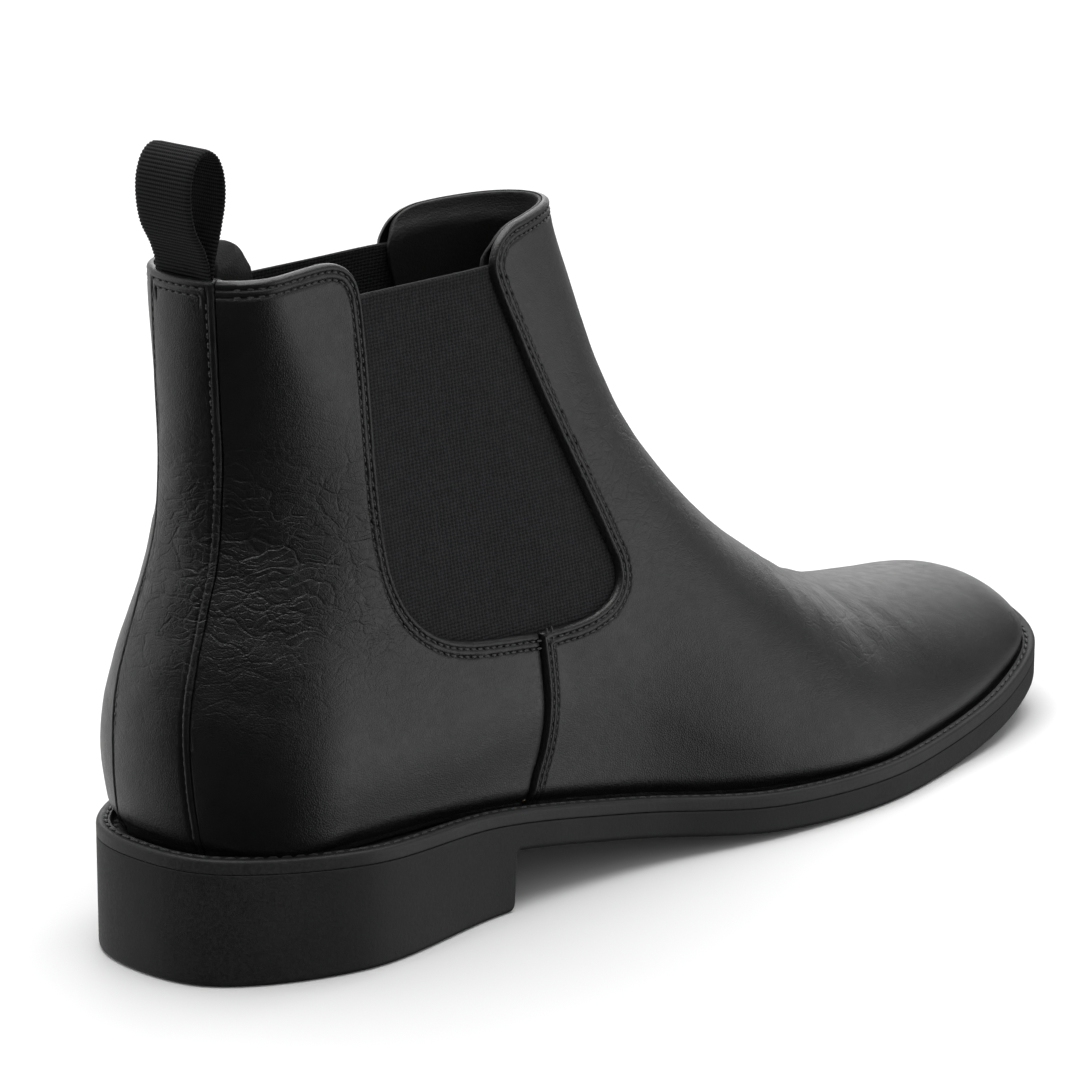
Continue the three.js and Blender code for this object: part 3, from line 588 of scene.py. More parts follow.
def add_gusset(name, side):
    p, triangles = grid(np.linspace(0.45, 1, 170), turns_on(side, 0.4, math.pi - 0.3, 170))
    p, triangles = cut(p, triangles, lambda q: inside_distance(side_view(q), elastic_loop), [0], "above")
    hem = lambda q: ELASTIC_TOP - 0.25 - side_view(q)[:, 1]
    p, triangles = cut(p, triangles, hem, [d for d, _ in HEM_RELIEF[1:-1]])
    points = upper_point(p)
    normal = upper_normal(p)
    depth = hem(p)
    relief = np.interp(depth, *np.array(HEM_RELIEF).T)
    up = np.clip((points[:, 2] - 60) / 87, 0, 1)
    forward = np.clip((points[:, 0] - 52) / 8, 0, 1)
    bow = 0.5 * np.sin(up * math.pi) * forward
    outer = points + (relief - ELASTIC_OUT - bow)[:, None] * normal
    inner = points - (ELASTIC_IN + bow)[:, None] * normal
    solid, faces = closed_shell(outer, inner, triangles)
    weave = np.stack([points[:, 0], depth, points[:, 1]], axis=1)
    piece = add_mesh(name + "_elastic", solid, faces, "elastic", {"weave": np.tile(weave, (2, 1)) * MM})
    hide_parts(name)


def add_lining(name, p, triangles, top_line):
    """A lining panel. At the topline it comes out to meet the leather, except round the pull loop's tail."""
    points = upper_point(p)
    normal = upper_normal(p)
    depth = top_line(p)
    beside_loop = np.where(points[:, 0] < 40, smooth((np.abs(points[:, 1]) - LOOP_WIDTH / 2 - 0.5) / 3), 1)
    flare = 1.9 * smooth(1 - depth / 8) * beside_loop
    roll = np.interp(depth, [0, 0.3, 0.8], [0.35, 0.08, 0])
    outer = points + (flare - LINING_OUT)[:, None] * normal
    inner = points + (flare + roll - LINING_IN)[:, None] * normal
    solid, faces = closed_shell(outer, inner, triangles)
    piece = add_mesh(name + "_layer", solid, faces, "lining", {"edge_distance": np.tile(depth, 2)})
    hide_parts(name)


def held_back(p):
    """How far a lining stays back from the leather's edge: more beside the elastic than at the topline."""
    return 0.1 + 0.4 * smooth((154 - side_view(p)[:, 1]) / 4)


def below_topline(distance, p):
    """A lining's distance from its edge, made longer lower down, where the edge isn't the topline."""
    return distance + 9 * smooth((153 - side_view(p)[:, 1]) / 8)


def add_linings():
    seat = lambda q: side_view(q)[:, 1] - seat_z(side_view(q)[:, 0]) - 3
    levels = [0.3, 0.8, 2, 4, 6, 8]
    p, triangles = grid(np.linspace(0.3, 1, 110), np.linspace(math.pi - 2.1, math.pi + 2.1, 150))
    p, triangles = cut(p, triangles, seat, [0], "above")
    p, triangles = cut(p, triangles, lambda q: HEEL_LINING_FRONT - side_view(q)[:, 0], [0], "above")
    top = lambda q: BACK_TOP - side_view(q)[:, 1]
    p, triangles = cut(p, triangles, top, [0], "above")
    p, triangles = cut(p, triangles, top, levels)
    add_lining("heel_lining", p, triangles, top)
    for name, side in (("quarter_lining_lateral", -1), ("quarter_lining_medial", 1)):
        p, triangles = grid(np.linspace(0.25, 1, 110), turns_on(side, 0.3, math.pi - 0.1, 110))
        p, triangles = cut(p, triangles, seat, [0], "above")
        p, triangles = cut(p, triangles, lambda q: side_view(q)[:, 0] - HEEL_LINING_FRONT - GAP, [0], "above")
        within = lambda q: inside_distance(side_view(q), quarter_loop) - held_back(q)
        p, triangles = cut(p, triangles, within, [0], "above")
        high = lambda q: below_topline(inside_distance(side_view(q), quarter_loop), q)
        add_lining(name, p, triangles, high)
    p, triangles = grid(stations()[::2], np.linspace(-math.pi, math.pi, 241))
    p, triangles = cut(p, triangles, seat, [0], "above")
    p, triangles = cut(p, triangles, lambda q: LINING_FRONT - side_view(q)[:, 0], [0], "above")
    within = lambda q: inside_distance(side_view(q), vamp_loop) - held_back(q)
    p, triangles = cut(p, triangles, within, [0], "above")
    edge = lambda q: line_distance(side_view(q), vamp_opening)
    p, triangles = cut(p, triangles, edge, levels)
    add_lining("vamp_lining", p, triangles, lambda q: below_topline(edge(q), q))


# ---- stitching ----------------------------------------------------------------------------------
def bead(rings=5, sides=6):
    """A stitch: a long bead one unit in half-length and half-width."""
    points = [(-1, 0, 0)]
    for i in range(1, rings):
        angle = math.pi * i / rings
        for k in range(sides):
            turn = 2 * math.pi * k / sides
            wide = math.sin(angle)
            points.append((-math.cos(angle), wide * math.cos(turn), wide * math.sin(turn)))
    points.append((1, 0, 0))
    faces = []
    last = len(points) - 1
    for k in range(sides):
        n = (k + 1) % sides
        faces.append((0, 1 + n, 1 + k))
        faces.append((last, last - sides + k, last - sides + n))
        for i in range(rings - 2):
            a = 1 + i * sides
            faces += [(a + k, a + n, a + sides + k), (a + n, a + sides + n, a + sides + k)]
    return np.array(points), np.array(faces)


def add_stitches(name, centres, headings, normals, slot_name="upper_leather", length=STITCH_LENGTH,
                 radius=STITCH_RADIUS):
    shape, faces = bead()
    across = np.cross(normals, headings)
    across /= np.linalg.norm(across, axis=1)[:, None]
    points = (centres[:, None] + shape[None, :, :1] * (length / 2) * headings[:, None]
              + shape[None, :, 1:2] * radius * across[:, None]
              + shape[None, :, 2:] * radius * 0.8 * normals[:, None])
    triangles = (np.arange(len(centres)) * len(shape))[:, None, None] + faces
    return add_mesh(name, points.reshape(-1, 3), triangles.reshape(-1, 3), slot_name, finish="thread")


def stitch_row(line, offset, side, lift, low, high):
    """Centres, headings and normals of stitches along a side-view line moved in by offset."""
    points, heading = evenly(line, 0.7)
    row = points + offset * np.stack([heading[:, 1], -heading[:, 0]], axis=1)
    row, _ = evenly(row, STITCH_PITCH)
    keep = (row[:, 1] > low(row[:, 0])) & (row[:, 0] < high)
    row = row[keep]
    p = locate(row, side)
    on_side = np.abs(p[:, 1]) > 0.03
    p = p[on_side]
    base = upper_point(p)
    normal = upper_normal(p)
    heading = np.gradient(base, axis=0)
    heading /= np.linalg.norm(heading, axis=1)[:, None]
    gaps = np.linalg.norm(np.gradient(base, axis=0), axis=1)
    fine = gaps < 2.2 * STITCH_PITCH
    return (base + (lift(row[on_side]) - 0.16)[:, None] * normal)[fine], heading[fine], normal[fine]


def add_upper_stitching():
    above_welt = lambda x: seat_z(x) + 2.2
    seam_lift = lambda xz: SEAM_LIFT * smooth(1 - line_distance(xz, seam_line) / 9)
    flat = lambda xz: np.zeros(len(xz))
    for side, word in ((-1, "lateral"), (1, "medial")):
        rows = []
        for offset in (ROW_1, ROW_2):
            rows.append(stitch_row(seam_line, offset, side, seam_lift, above_welt, 200))
            rows.append(stitch_row(vamp_opening[4:], offset, side, seam_lift, above_welt, 200))
        add_stitches(f"vamp_stitching_{word}", *(np.concatenate(part) for part in zip(*rows)))
        rows = []
        for offset in (ROW_1, ROW_2):
            centres, headings, normals = stitch_row(quarter_opening, -offset, side, flat, above_welt, 200)
            clear = np.abs(centres[:, 1]) > strip_half_width(centres[:, 2]) + 1
            rows.append((centres[clear], headings[clear], normals[clear]))
        add_stitches(f"quarter_stitching_{word}", *(np.concatenate(part) for part in zip(*rows)))


def back_rows():
    """Rows on the back strip: one inside each long edge and two under the topline."""
    rows = []
    for side in (-1, 1):
        z = np.arange(seat_z(8.0) + 4, BACK_TOP - 5, STITCH_PITCH)
        rows.append(np.stack([np.full(len(z), side), strip_half_width(z) - ROW_1, z], axis=1))
    for offset in (ROW_1, ROW_2):
        y = np.arange(-BACK_STRIP_TOP + 2.6, BACK_STRIP_TOP - 2.2, STITCH_PITCH)
        z = np.full(len(y), BACK_TOP + 0.5 - offset)
        rows.append(np.stack([np.where(y < 0, -1, 1), np.abs(y), z], axis=1))
    return rows


def add_back_strip_stitching():
    made = []
    for row in back_rows():
        side, y, z = row.T
        share = np.clip(y / back_width(z), 0, 0.999)
        depth = 1 - (1 - share**BACK_POWER) ** (1 / BACK_POWER)
        p = np.empty((len(row), 2))
        for sign in (-1, 1):
            chosen = side == sign
            xz = np.stack([back_x(z) + depth * back_round(z), z], axis=1)[chosen]
            p[chosen] = locate(xz, sign)
        base = upper_point(p)
        normal = upper_normal(p)
        heading = np.gradient(base, axis=0)
        heading /= np.linalg.norm(heading, axis=1)[:, None]
        made.append((base + (STRIP_LIFT - 0.16) * normal, heading, normal))
    add_stitches("back_strip_stitching", *(np.concatenate(part) for part in zip(*made)))


# ---- sole ---------------------------------------------------------------------------------------
SUPPORT = 0.4  # rows of points this far from a wall's ends keep its shading flat


def add_slab(name, slot_name, nodes, step, low, high, cuts, x_levels=()):
    """A layer of the bottom, seen from above as the sole's outline cut at distances in from its edge."""
    x = np.arange(-1.3, 304, step)
    y = np.arange(-55.1, 54, step)
    p, triangles = grid(x, y)
    inset = lambda q: inside_distance(q, outline[::2])
    p, triangles = cut(p, triangles, inset, [cuts[0]], "above")
    if cuts[1] is not None:
        p, triangles = cut(p, triangles, inset, [cuts[1]], "below")
    p, triangles = cut(p, triangles, inset, cuts[2])
    if len(x_levels):
        p, triangles = cut(p, triangles, lambda q: q[:, 0], x_levels)
    distance = inset(p)
    top = np.column_stack([p, high(p[:, 0], distance)])
    bottom = np.column_stack([p, low(p[:, 0], distance)])
    count = len(p)
    rim = rim_of(triangles, count)
    ring, where = np.unique(rim, return_inverse=True)
    where = where.reshape(-1, 2)
    wall_high = top[ring] - (0, 0, SUPPORT)
    wall_low = bottom[ring] + (0, 0, SUPPORT)
    rows = [rim, where + 2 * count, where + 2 * count + len(ring), rim + count]
    faces = [triangles, triangles[:, ::-1] + count]
    for upper, lower in zip(rows[:-1], rows[1:]):
        a, b = upper.T
        c, d = lower.T
        faces += [np.stack([b, a, c], 1), np.stack([b, c, d], 1)]
    points = np.concatenate([top, bottom, wall_high, wall_low])
    flat = np.concatenate(faces)
    piece = add_mesh(name, points, flat, slot_name)
    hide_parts(*nodes)
    return piece


BREAST = [(82.6, 0), (83.4, 0.1), (83.8, 0.45), (84, 1.2), (84.5, 12.6), (84.9, 13.6), (85.6, 14)]


def edge_round(distance, radius):
    inside = np.clip(1 - distance / radius, 0, 1)
    return radius * (1 - np.sqrt(1 - inside**2))


def tread(x, distance):
    forepart = np.maximum(seat_z(x) - SOLE_THICKNESS, 0)
    heel = np.interp(x, *np.array(BREAST).T)
    z = np.where(x < BREAST[-1][0], np.minimum(heel, forepart), forepart)
    return z + edge_round(distance, 1.3)


def platform(x, distance):
    under = seat_z(x) - WELT_THICKNESS - 0.08
    raised = (distance > WELT_WIDTH + GAP + 0.1) & (x < PLATFORM_FRONT)
    return np.where(raised, seat_z(x) - 0.05, under - edge_round(distance, 0.3))


def welt_top(x, distance):
    """The welt's rounded rim, its stitching channel, and the trench that the upper stands in."""
    channel = np.interp(distance, [1.5, 2.0, 2.5, 3.0], [0, -0.35, -0.35, 0])
    return seat_z(x) - edge_round(distance, 0.9) + channel - TRENCH * smooth((distance - 3.1) / 0.7)


def add_sole():
    add_slab("outsole_rubber", "sole_rubber", ["outsole_unit"], 2.5, tread, platform,
             (0, None, [0.05, 0.2, 0.5, 0.9, 1.3, 9.85, 10.05]), [x for x, _ in BREAST] + [PLATFORM_FRONT])
    welt_low = lambda x, d: seat_z(x) - WELT_THICKNESS + edge_round(d, 0.25)
    add_slab("welt_strip", "welt_rubber", ["welt"], 2.2, welt_low, welt_top,
             (0, WELT_WIDTH, [0.05, 0.15, 0.35, 0.6, 0.9, 1.5, 2.0, 2.5, 3.0, 3.2, 3.45, 3.8]))
    row = outline + 2.25 * inward
    row, heading = evenly(np.concatenate([row, row[:1]]), 3.1)
    tangent = np.column_stack([heading, np.gradient(seat_z(row[:, 0])) / 3.1])
    tangent /= np.linalg.norm(tangent, axis=1)[:, None]
    centres = np.column_stack([row, seat_z(row[:, 0]) - 0.2])
    normals = np.tile([0.0, 0.0, 1.0], (len(row), 1))
    slant = tangent + 0.16 * np.cross(normals, tangent)
    slant /= np.linalg.norm(slant, axis=1)[:, None]
    add_stitches("welt_stitching", centres[:-1], slant[:-1], normals[:-1], "welt_rubber", 2.5, 0.42)


def add_footbed():
    lift = lambda x: BOARD_TOP + GAP + HEEL_PAD_RISE * (1 - smooth((x - 70) / 25))
    crown = lambda d: 0.9 * (1 - smooth((d - 10.5) / 14))
    pad_edge = lambda d: smooth((d - 10.4) / 5)
    sock_low = lambda x, d: seat_z(x) + lift(x) + crown(d)
    sock_high = lambda x, d: sock_low(x, d) + SOCK_THICKNESS - edge_round(d - 10.3, 0.5)
    inside = 10.3
    add_slab("sock_leather_liner", "sock_leather", ["sock_liner"], 3.5, sock_low, sock_high,
             (inside, None, [inside + 0.2, inside + 0.6, 11.5, 13]))
    pad_low = lambda x, d: seat_z(x) + BOARD_TOP + GAP
    pad_high = lambda x, d: (pad_low(x, d) + 0.3
                             + (HEEL_PAD_RISE - 0.9) * pad_edge(d) * smooth((HEEL_PAD_FRONT + 4 - x) / 14))
    pad_cuts = (inside + 0.1, None, [11, 12, 14])
    pad = add_slab("heel_pad_foam", "foam", ["heel_pad"], 3.5, pad_low, pad_high, pad_cuts)


# ---- pull loop ----------------------------------------------------------------------------------
RIB_PITCH = 0.85
LOOP_NECK_X = 17.4
LOOP_SIDE = [(15, 160.3), (12.2, 165.5), (11, 171.1), (11.3, 176.8), (13.4, 181.2), (16.6, 182.9),
             (20, 181.2), (22, 176.8), (22.2, 171.1), (21, 165.5), (19.6, 160.3)]


def add_pull_loop():
    """One length of ribbed tape: up between strip and lining, round the loop, and down in front of itself."""
    outer = smooth_line([(LOOP_NECK_X - WEBBING, 157), *LOOP_SIDE, (LOOP_NECK_X + WEBBING, 157)])
    points, heading = evenly(outer, 0.5)
    middle = points + WEBBING / 2 * np.stack([heading[:, 1], -heading[:, 0]], axis=1)
    tail_z = [TAIL_FOOT, 132, 140, 147, 152]
    rear = [(back_x(z) + 2.08, z) for z in tail_z]
    front = [(back_x(z) + 2.84, z) for z in reversed(tail_z)]
    path = smooth_line(np.concatenate([rear, middle[::4], [middle[-1]], front]), steps=6)
    line, heading = evenly(path, RIB_PITCH / 4)
    along = np.arange(len(line)) * RIB_PITCH / 4
    normal = np.stack([heading[:, 1], -heading[:, 0]], axis=1)
    half = 0.34 + (WEBBING / 2 - 0.36) * smooth((line[:, 1] - 152) / 8)
    rib = 0.5 - 0.5 * np.cos(2 * math.pi * along / RIB_PITCH)
    half = half - 0.26 * (1 - rib**0.6)
    width = LOOP_WIDTH / 2 - 0.12 * (1 - rib)
    across = np.array([1, 0.97, 0.8, 0.5, 0, -0.5, -0.8, -0.97, -1, -0.97, -0.8, -0.5, 0, 0.5, 0.8, 0.97])
    depth = np.array([0, 0.75, 1, 1, 1, 1, 1, 0.75, 0, -0.75, -1, -1, -1, -1, -1, -0.75])
    sides = len(across)
    centre = np.column_stack([line[:, 0], np.zeros(len(line)), line[:, 1]])
    thick = np.column_stack([normal[:, 0], np.zeros(len(line)), normal[:, 1]])
    ring = (centre[:, None] + depth[None, :, None] * half[:, None, None] * thick[:, None]
            + across[None, :, None] * width[:, None, None] * np.array([0.0, 1, 0]))
    a = (np.arange(len(line) - 1)[:, None] * sides + np.arange(sides)).ravel()
    b = (np.arange(len(line) - 1)[:, None] * sides + (np.arange(sides) + 1) % sides).ravel()
    faces = [np.stack([a, b, a + sides], 1), np.stack([b, b + sides, a + sides], 1)]
    end = (len(line) - 1) * sides
    for k in range(1, sides - 1):
        faces.append(np.array([(0, k + 1, k)]))
        faces.append(np.array([(end, end + k, end + k + 1)]))
    tape = np.column_stack([np.repeat(along, sides), np.tile(across * LOOP_WIDTH / 2, len(line)),
                            np.zeros(len(line) * sides)]) * MM
    piece = add_mesh("pull_loop_tape", ring.reshape(-1, 3), np.concatenate(faces), "webbing",
                     {"weave": tape}, None)
    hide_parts("pull_loop", "pull_loop_tail")
    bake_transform(piece)


# ---- materials ----------------------------------------------------------------------------------
BANDS = 1000 * 2 * math.pi / 20  # over a period in millimetres, the Scale of a wave texture


class Nodes:
    """A short way to write a node tree."""

    def __init__(self, name):
        self.material = bpy.data.materials.new(name)
        self.material.use_nodes = True
        self.tree = self.material.node_tree
        self.shader = self.tree.nodes["Principled BSDF"]
        self.place = self.node("ShaderNodeTexCoord").outputs["Object"]

    def node(self, kind, inputs=None, **settings):
        made = self.tree.nodes.new(kind)
        for key, value in settings.items():
            setattr(made, key, value)
        for key, value in (inputs or {}).items():
            if isinstance(value, bpy.types.NodeSocket):
                self.tree.links.new(value, made.inputs[key])
            else:
                made.inputs[key].default_value = value
        return made

    def math(self, operation, a, b=0.0):
        return self.node("ShaderNodeMath", {0: a, 1: b}, operation=operation).outputs[0]

    def stretched(self, scale, place=None):
        return self.node("ShaderNodeMapping", {"Vector": place or self.place, "Scale": scale}).outputs[0]

    def noise(self, size_mm, detail=3.0, place=None, kind="FBM", **inputs):
        sockets = {"Vector": place or self.place, "Scale": 1000 / size_mm, "Detail": detail, **inputs}
        return self.node("ShaderNodeTexNoise", sockets, noise_type=kind, normalize=True).outputs["Fac"]

    def cells(self, size_mm, feature="DISTANCE_TO_EDGE", place=None):
        sockets = {"Vector": place or self.place, "Scale": 1000 / size_mm}
        return self.node("ShaderNodeTexVoronoi", sockets, feature=feature).outputs["Distance"]

    def waves(self, place, period_mm, direction, distortion=0.0, detail=2.0, detail_scale=1.0):
        sockets = {"Vector": place, "Scale": BANDS / period_mm, "Distortion": distortion, "Detail": detail,
                   "Detail Scale": detail_scale}
        return self.node("ShaderNodeTexWave", sockets, bands_direction=direction).outputs["Fac"]

    def ramp(self, value, low, high, out_low=0.0, out_high=1.0):
        sockets = {"Value": value, "From Min": low, "From Max": high, "To Min": out_low, "To Max": out_high}
        return self.node("ShaderNodeMapRange", sockets).outputs["Result"]

    def mix(self, share, first, second):
        made = self.node("ShaderNodeMix", data_type="RGBA")
        self.tree.links.new(share, made.inputs["Factor"])
        made.inputs["A"].default_value = (*first, 1)
        made.inputs["B"].default_value = (*second, 1)
        return made.outputs["Result"]

    def attribute(self, name, output="Fac"):
        return self.node("ShaderNodeAttribute", attribute_name=name).outputs[output]

    def bump(self, height, depth_mm, before=None):
        made = self.node("ShaderNodeBump", {"Height": height, "Strength": 1.0, "Distance": depth_mm * MM})
        if before is not None:
            self.tree.links.new(before, made.inputs["Normal"])
        return made.outputs["Normal"]

    def link(self, socket, value):
        self.tree.links.new(value, self.shader.inputs[socket])

    def set(self, **values):
        for key, value in values.items():
            self.shader.inputs[key.replace("_", " ")].default_value = value


def leather_material(name, dark, light, rough, grain_mm=0.55, grain_depth=0.035):
    n = Nodes(name)
    broad = n.noise(26, 4)
    n.link("Base Color", n.mix(n.ramp(broad, 0.3, 0.7), dark, light))
    fine = n.noise(3.5, 4)
    rougher = n.math("MULTIPLY_ADD", n.ramp(fine, 0.3, 0.7), 0.1)
    rougher.node.inputs[2].default_value = rough
    crease = n.attribute("crease")
    n.link("Roughness", n.math("ADD", rougher, n.math("MULTIPLY", crease, 0.05)))
    warped = n.node("ShaderNodeVectorMath", {0: n.stretched((0.7, 0.8, 1.5)), 1: (0, 0, 0)}, operation="ADD")
    drift = n.node("ShaderNodeTexNoise", {"Vector": n.place, "Scale": 90.0, "Detail": 2.0}).outputs["Color"]
    drifted = n.node("ShaderNodeVectorMath", {0: drift, 1: (0.012, 0.012, 0.012)}, operation="MULTIPLY")
    n.tree.links.new(drifted.outputs[0], warped.inputs[1])
    folds = n.cells(6.5, place=warped.outputs[0])
    small_folds = n.cells(2.3, place=warped.outputs[0])
    fold_lines = n.math("MULTIPLY", n.ramp(folds, 0, 0.09), crease)
    small_lines = n.math("MULTIPLY", n.ramp(small_folds, 0, 0.12), crease)
    grain = n.ramp(n.cells(grain_mm), 0, 0.25)
    normal = n.bump(grain, grain_depth)
    normal = n.bump(n.noise(1.4, 3), 0.05, normal)
    normal = n.bump(small_lines, 0.07, normal)
    normal = n.bump(fold_lines, 0.13, normal)
    n.link("Normal", normal)
    n.set(Coat_Weight=0.12, Coat_Roughness=0.2, Specular_IOR_Level=0.5)
    return n.material


def elastic_material(name):
    n = Nodes(name)
    weave = n.attribute("weave", "Vector")
    rows = n.waves(weave, 0.8, "Y", 3.0, 3.0, 3.0)
    cords = n.waves(weave, 1.1, "X", 4.0, 3.0, 4.0)
    fuzz = n.noise(0.5, 4)
    cloth = n.math("ADD", n.math("MULTIPLY", rows, 0.55), n.math("MULTIPLY", cords, 0.45))
    mottled = n.math("ADD", n.math("MULTIPLY", cloth, 0.5), n.math("MULTIPLY", n.noise(2.2, 5), 0.5))
    n.link("Base Color", n.mix(n.ramp(mottled, 0.3, 0.75), (0.006, 0.006, 0.0068), (0.019, 0.019, 0.021)))
    n.link("Roughness", n.ramp(fuzz, 0.3, 0.7, 0.8, 0.95))
    normal = n.bump(rows, 0.09)
    normal = n.bump(cords, 0.06, normal)
    n.link("Normal", n.bump(fuzz, 0.05, normal))
    n.set(Sheen_Weight=0.04, Sheen_Roughness=0.5, Specular_IOR_Level=0.2)
    return n.material


def webbing_material(name):
    n = Nodes(name)
    weave = n.attribute("weave", "Vector")
    yarns = n.waves(weave, 0.6, "Y", 1.5)
    # painted shade: waves at the rib pitch that darken the base colour in the grooves between the tape's ribs
    rib_groove_shade = n.waves(weave, RIB_PITCH, "X")
    fuzz = n.noise(0.4, 4)
    tone = n.math("ADD", n.math("MULTIPLY", yarns, 0.5), n.math("MULTIPLY", fuzz, 0.5))
    # the tape's colour: yarn and fuzz tone, with the painted shade of the rib grooves mixed in
    tone = n.math("ADD", n.math("MULTIPLY", tone, 0.4), n.math("MULTIPLY", rib_groove_shade, 0.6))
    n.link("Base Color", n.mix(n.ramp(tone, 0.25, 0.8), (0.001, 0.001, 0.0012), (0.016, 0.016, 0.0175)))
    n.link("Roughness", n.ramp(fuzz, 0.3, 0.7, 0.7, 0.9))
    n.link("Normal", n.bump(fuzz, 0.04, n.bump(yarns, 0.06)))
    n.set(Sheen_Weight=0.03, Sheen_Roughness=0.4, Specular_IOR_Level=0.2)
    return n.material


def speckled_material(name, dark, light, rough, size_mm, depth_mm, metallic=0.0):
    """Moulded, cut or pressed stuff: a fine speckle in tone, gloss and relief."""
    n = Nodes(name)
    speck = n.noise(size_mm, 5)
    cloud = n.noise(size_mm * 22, 3)
    tone = n.math("ADD", n.math("MULTIPLY", speck, 0.6), n.math("MULTIPLY", cloud, 0.4))
    n.link("Base Color", n.mix(n.ramp(tone, 0.35, 0.65), dark, light))
    n.link("Roughness", n.ramp(speck, 0.3, 0.7, rough - 0.06, rough + 0.08))
    n.link("Normal", n.bump(speck, depth_mm, n.bump(cloud, depth_mm * 2)))
    n.set(Metallic=metallic, Specular_IOR_Level=0.4)
    return n.material


def thread_material(name):
    n = Nodes(name)
    twist = n.node("ShaderNodeTexWave", {"Vector": n.place, "Scale": 900.0, "Distortion": 2.0},
                   bands_direction="DIAGONAL").outputs["Fac"]
    n.link("Base Color", n.mix(twist, (0.012, 0.012, 0.013), (0.04, 0.04, 0.042)))
    n.link("Roughness", n.ramp(n.noise(0.5), 0.3, 0.7, 0.35, 0.55))
    n.link("Normal", n.bump(twist, 0.04))
    n.set(Sheen_Weight=0.15, Specular_IOR_Level=0.4)
    return n.material


def make_materials():
    return {
        "upper_leather": leather_material(
            "black_calf", (0.0035, 0.0035, 0.0037), (0.0065, 0.0064, 0.0066), 0.3),
        "lining": leather_material(
            "lining_leather", (0.006, 0.006, 0.006), (0.013, 0.013, 0.013), 0.62, 0.8, 0.05),
        "sock_leather": leather_material(
            "sock_leather", (0.007, 0.007, 0.007), (0.014, 0.014, 0.014), 0.55, 0.8),
        "elastic": elastic_material("elastic_web"),
        "webbing": webbing_material("ribbed_tape"),
        "thread": thread_material("waxed_thread"),
        "sole_rubber": speckled_material(
            "sole_rubber", (0.008, 0.008, 0.0085), (0.015, 0.015, 0.016), 0.6, 0.7, 0.05),
        "welt_rubber": speckled_material(
            "welt_rubber", (0.011, 0.011, 0.012), (0.021, 0.021, 0.022), 0.5, 0.8, 0.06),
        "fibre_board": speckled_material(
            "fibre_board", (0.33, 0.23, 0.13), (0.48, 0.36, 0.22), 0.85, 1.2, 0.08),
        "stiffener": speckled_material("stiffener", (0.36, 0.27, 0.17), (0.5, 0.4, 0.27), 0.8, 0.9, 0.05),
        "cork": speckled_material("cork", (0.13, 0.07, 0.035), (0.32, 0.2, 0.1), 0.9, 2.0, 0.2),
        "foam": speckled_material("foam", (0.03, 0.03, 0.03), (0.06, 0.06, 0.06), 0.95, 0.6, 0.1),
        "steel": speckled_material("steel", (0.42, 0.42, 0.43), (0.56, 0.56, 0.57), 0.35, 0.5, 0.01, 1.0),
    }


# ---- studio -------------------------------------------------------------------------------------
CAMERA_TARGET = (130, 0, 80)
CAMERA_AZIMUTH = -47.74
CAMERA_ELEVATION = 15.87
CAMERA_ROLL = 0.25
CAMERA_DISTANCE = 1078.67
CAMERA_LENS = 152.85
AIM_RIGHT = 0.00029   # the aim, off the target by these shares of the distance
AIM_DOWN = 0.00748
FILL = 0.5            # the even light on everything
DARK_SIDE = 0.012     # what the leather mirrors towards the camera's side
# Bright parts of the studio: the way to each one's middle, the dot product with it at which its edge starts
# and ends, and its brightness.
MIRRORED_STUDIO = [((0.7, -0.7, -0.1), 0.76, 0.97, 1.15), ((0, 1, 0), 0.3, 1, 0.9), ((1, 0, 0), 0.6, 1, 0.26),
                   ((0.84, 0.5, 0.2), 0.9, 0.99, 1.3), ((0, 0, 1), 0.3, 0.9, 0.7)]


def add_camera():
    azimuth, elevation, roll = (math.radians(a) for a in (CAMERA_AZIMUTH, CAMERA_ELEVATION, CAMERA_ROLL))
    back = Vector((math.sin(azimuth) * math.cos(elevation), -math.cos(azimuth) * math.cos(elevation),
                   math.sin(elevation)))
    right = Vector((math.cos(azimuth), math.sin(azimuth), 0))
    up = back.cross(right)
    rolled_right = right * math.cos(roll) + up * math.sin(roll)
    rolled_up = up * math.cos(roll) - right * math.sin(roll)
    forward = (-back + rolled_right * AIM_RIGHT - rolled_up * AIM_DOWN).normalized()
    true_right = forward.cross(rolled_up).normalized()
    true_up = true_right.cross(forward)
    data = bpy.data.cameras.new("camera")
    data.lens = CAMERA_LENS
    data.sensor_width = 36
    data.clip_start = 0.05
    data.clip_end = 30
    camera = bpy.data.objects.new("camera", data)
    bpy.context.scene.collection.objects.link(camera)
    camera.location = spot(*CAMERA_TARGET) + back * CAMERA_DISTANCE * MM
    camera.rotation_mode = "QUATERNION"
    axes = Matrix((true_right, true_up, -forward)).transposed()
    camera.rotation_quaternion = axes.to_quaternion()
    bpy.context.scene.camera = camera


def add_light(name, size, power, position, target):
    data = bpy.data.lights.new(name, "AREA")
    data.shape = "RECTANGLE"
    data.size, data.size_y = size
    data.energy = power
    light = bpy.data.objects.new(name, data)
    bpy.context.scene.collection.objects.link(light)
    light.location = position
    light.rotation_mode = "QUATERNION"
    light.rotation_quaternion = (Vector(target) - Vector(position)).to_track_quat("-Z", "Y")


def add_floor():
    side = 12.0
    mesh = bpy.data.meshes.new("floor")
    corners = [(-side, -side, 0), (side, -side, 0), (side, side, 0), (-side, side, 0)]
    mesh.from_pydata(corners, [], [(0, 1, 2, 3)])
    floor = bpy.data.objects.new("floor", mesh)
    bpy.context.scene.collection.objects.link(floor)
    n = Nodes("floor_paper")
    n.link("Base Color", n.mix(n.noise(90, 2), (0.9, 0.9, 0.9), (0.93, 0.93, 0.93)))
    n.set(Roughness=0.9, Specular_IOR_Level=0.1)
    mesh.materials.append(n.material)
    floor.visible_glossy = False


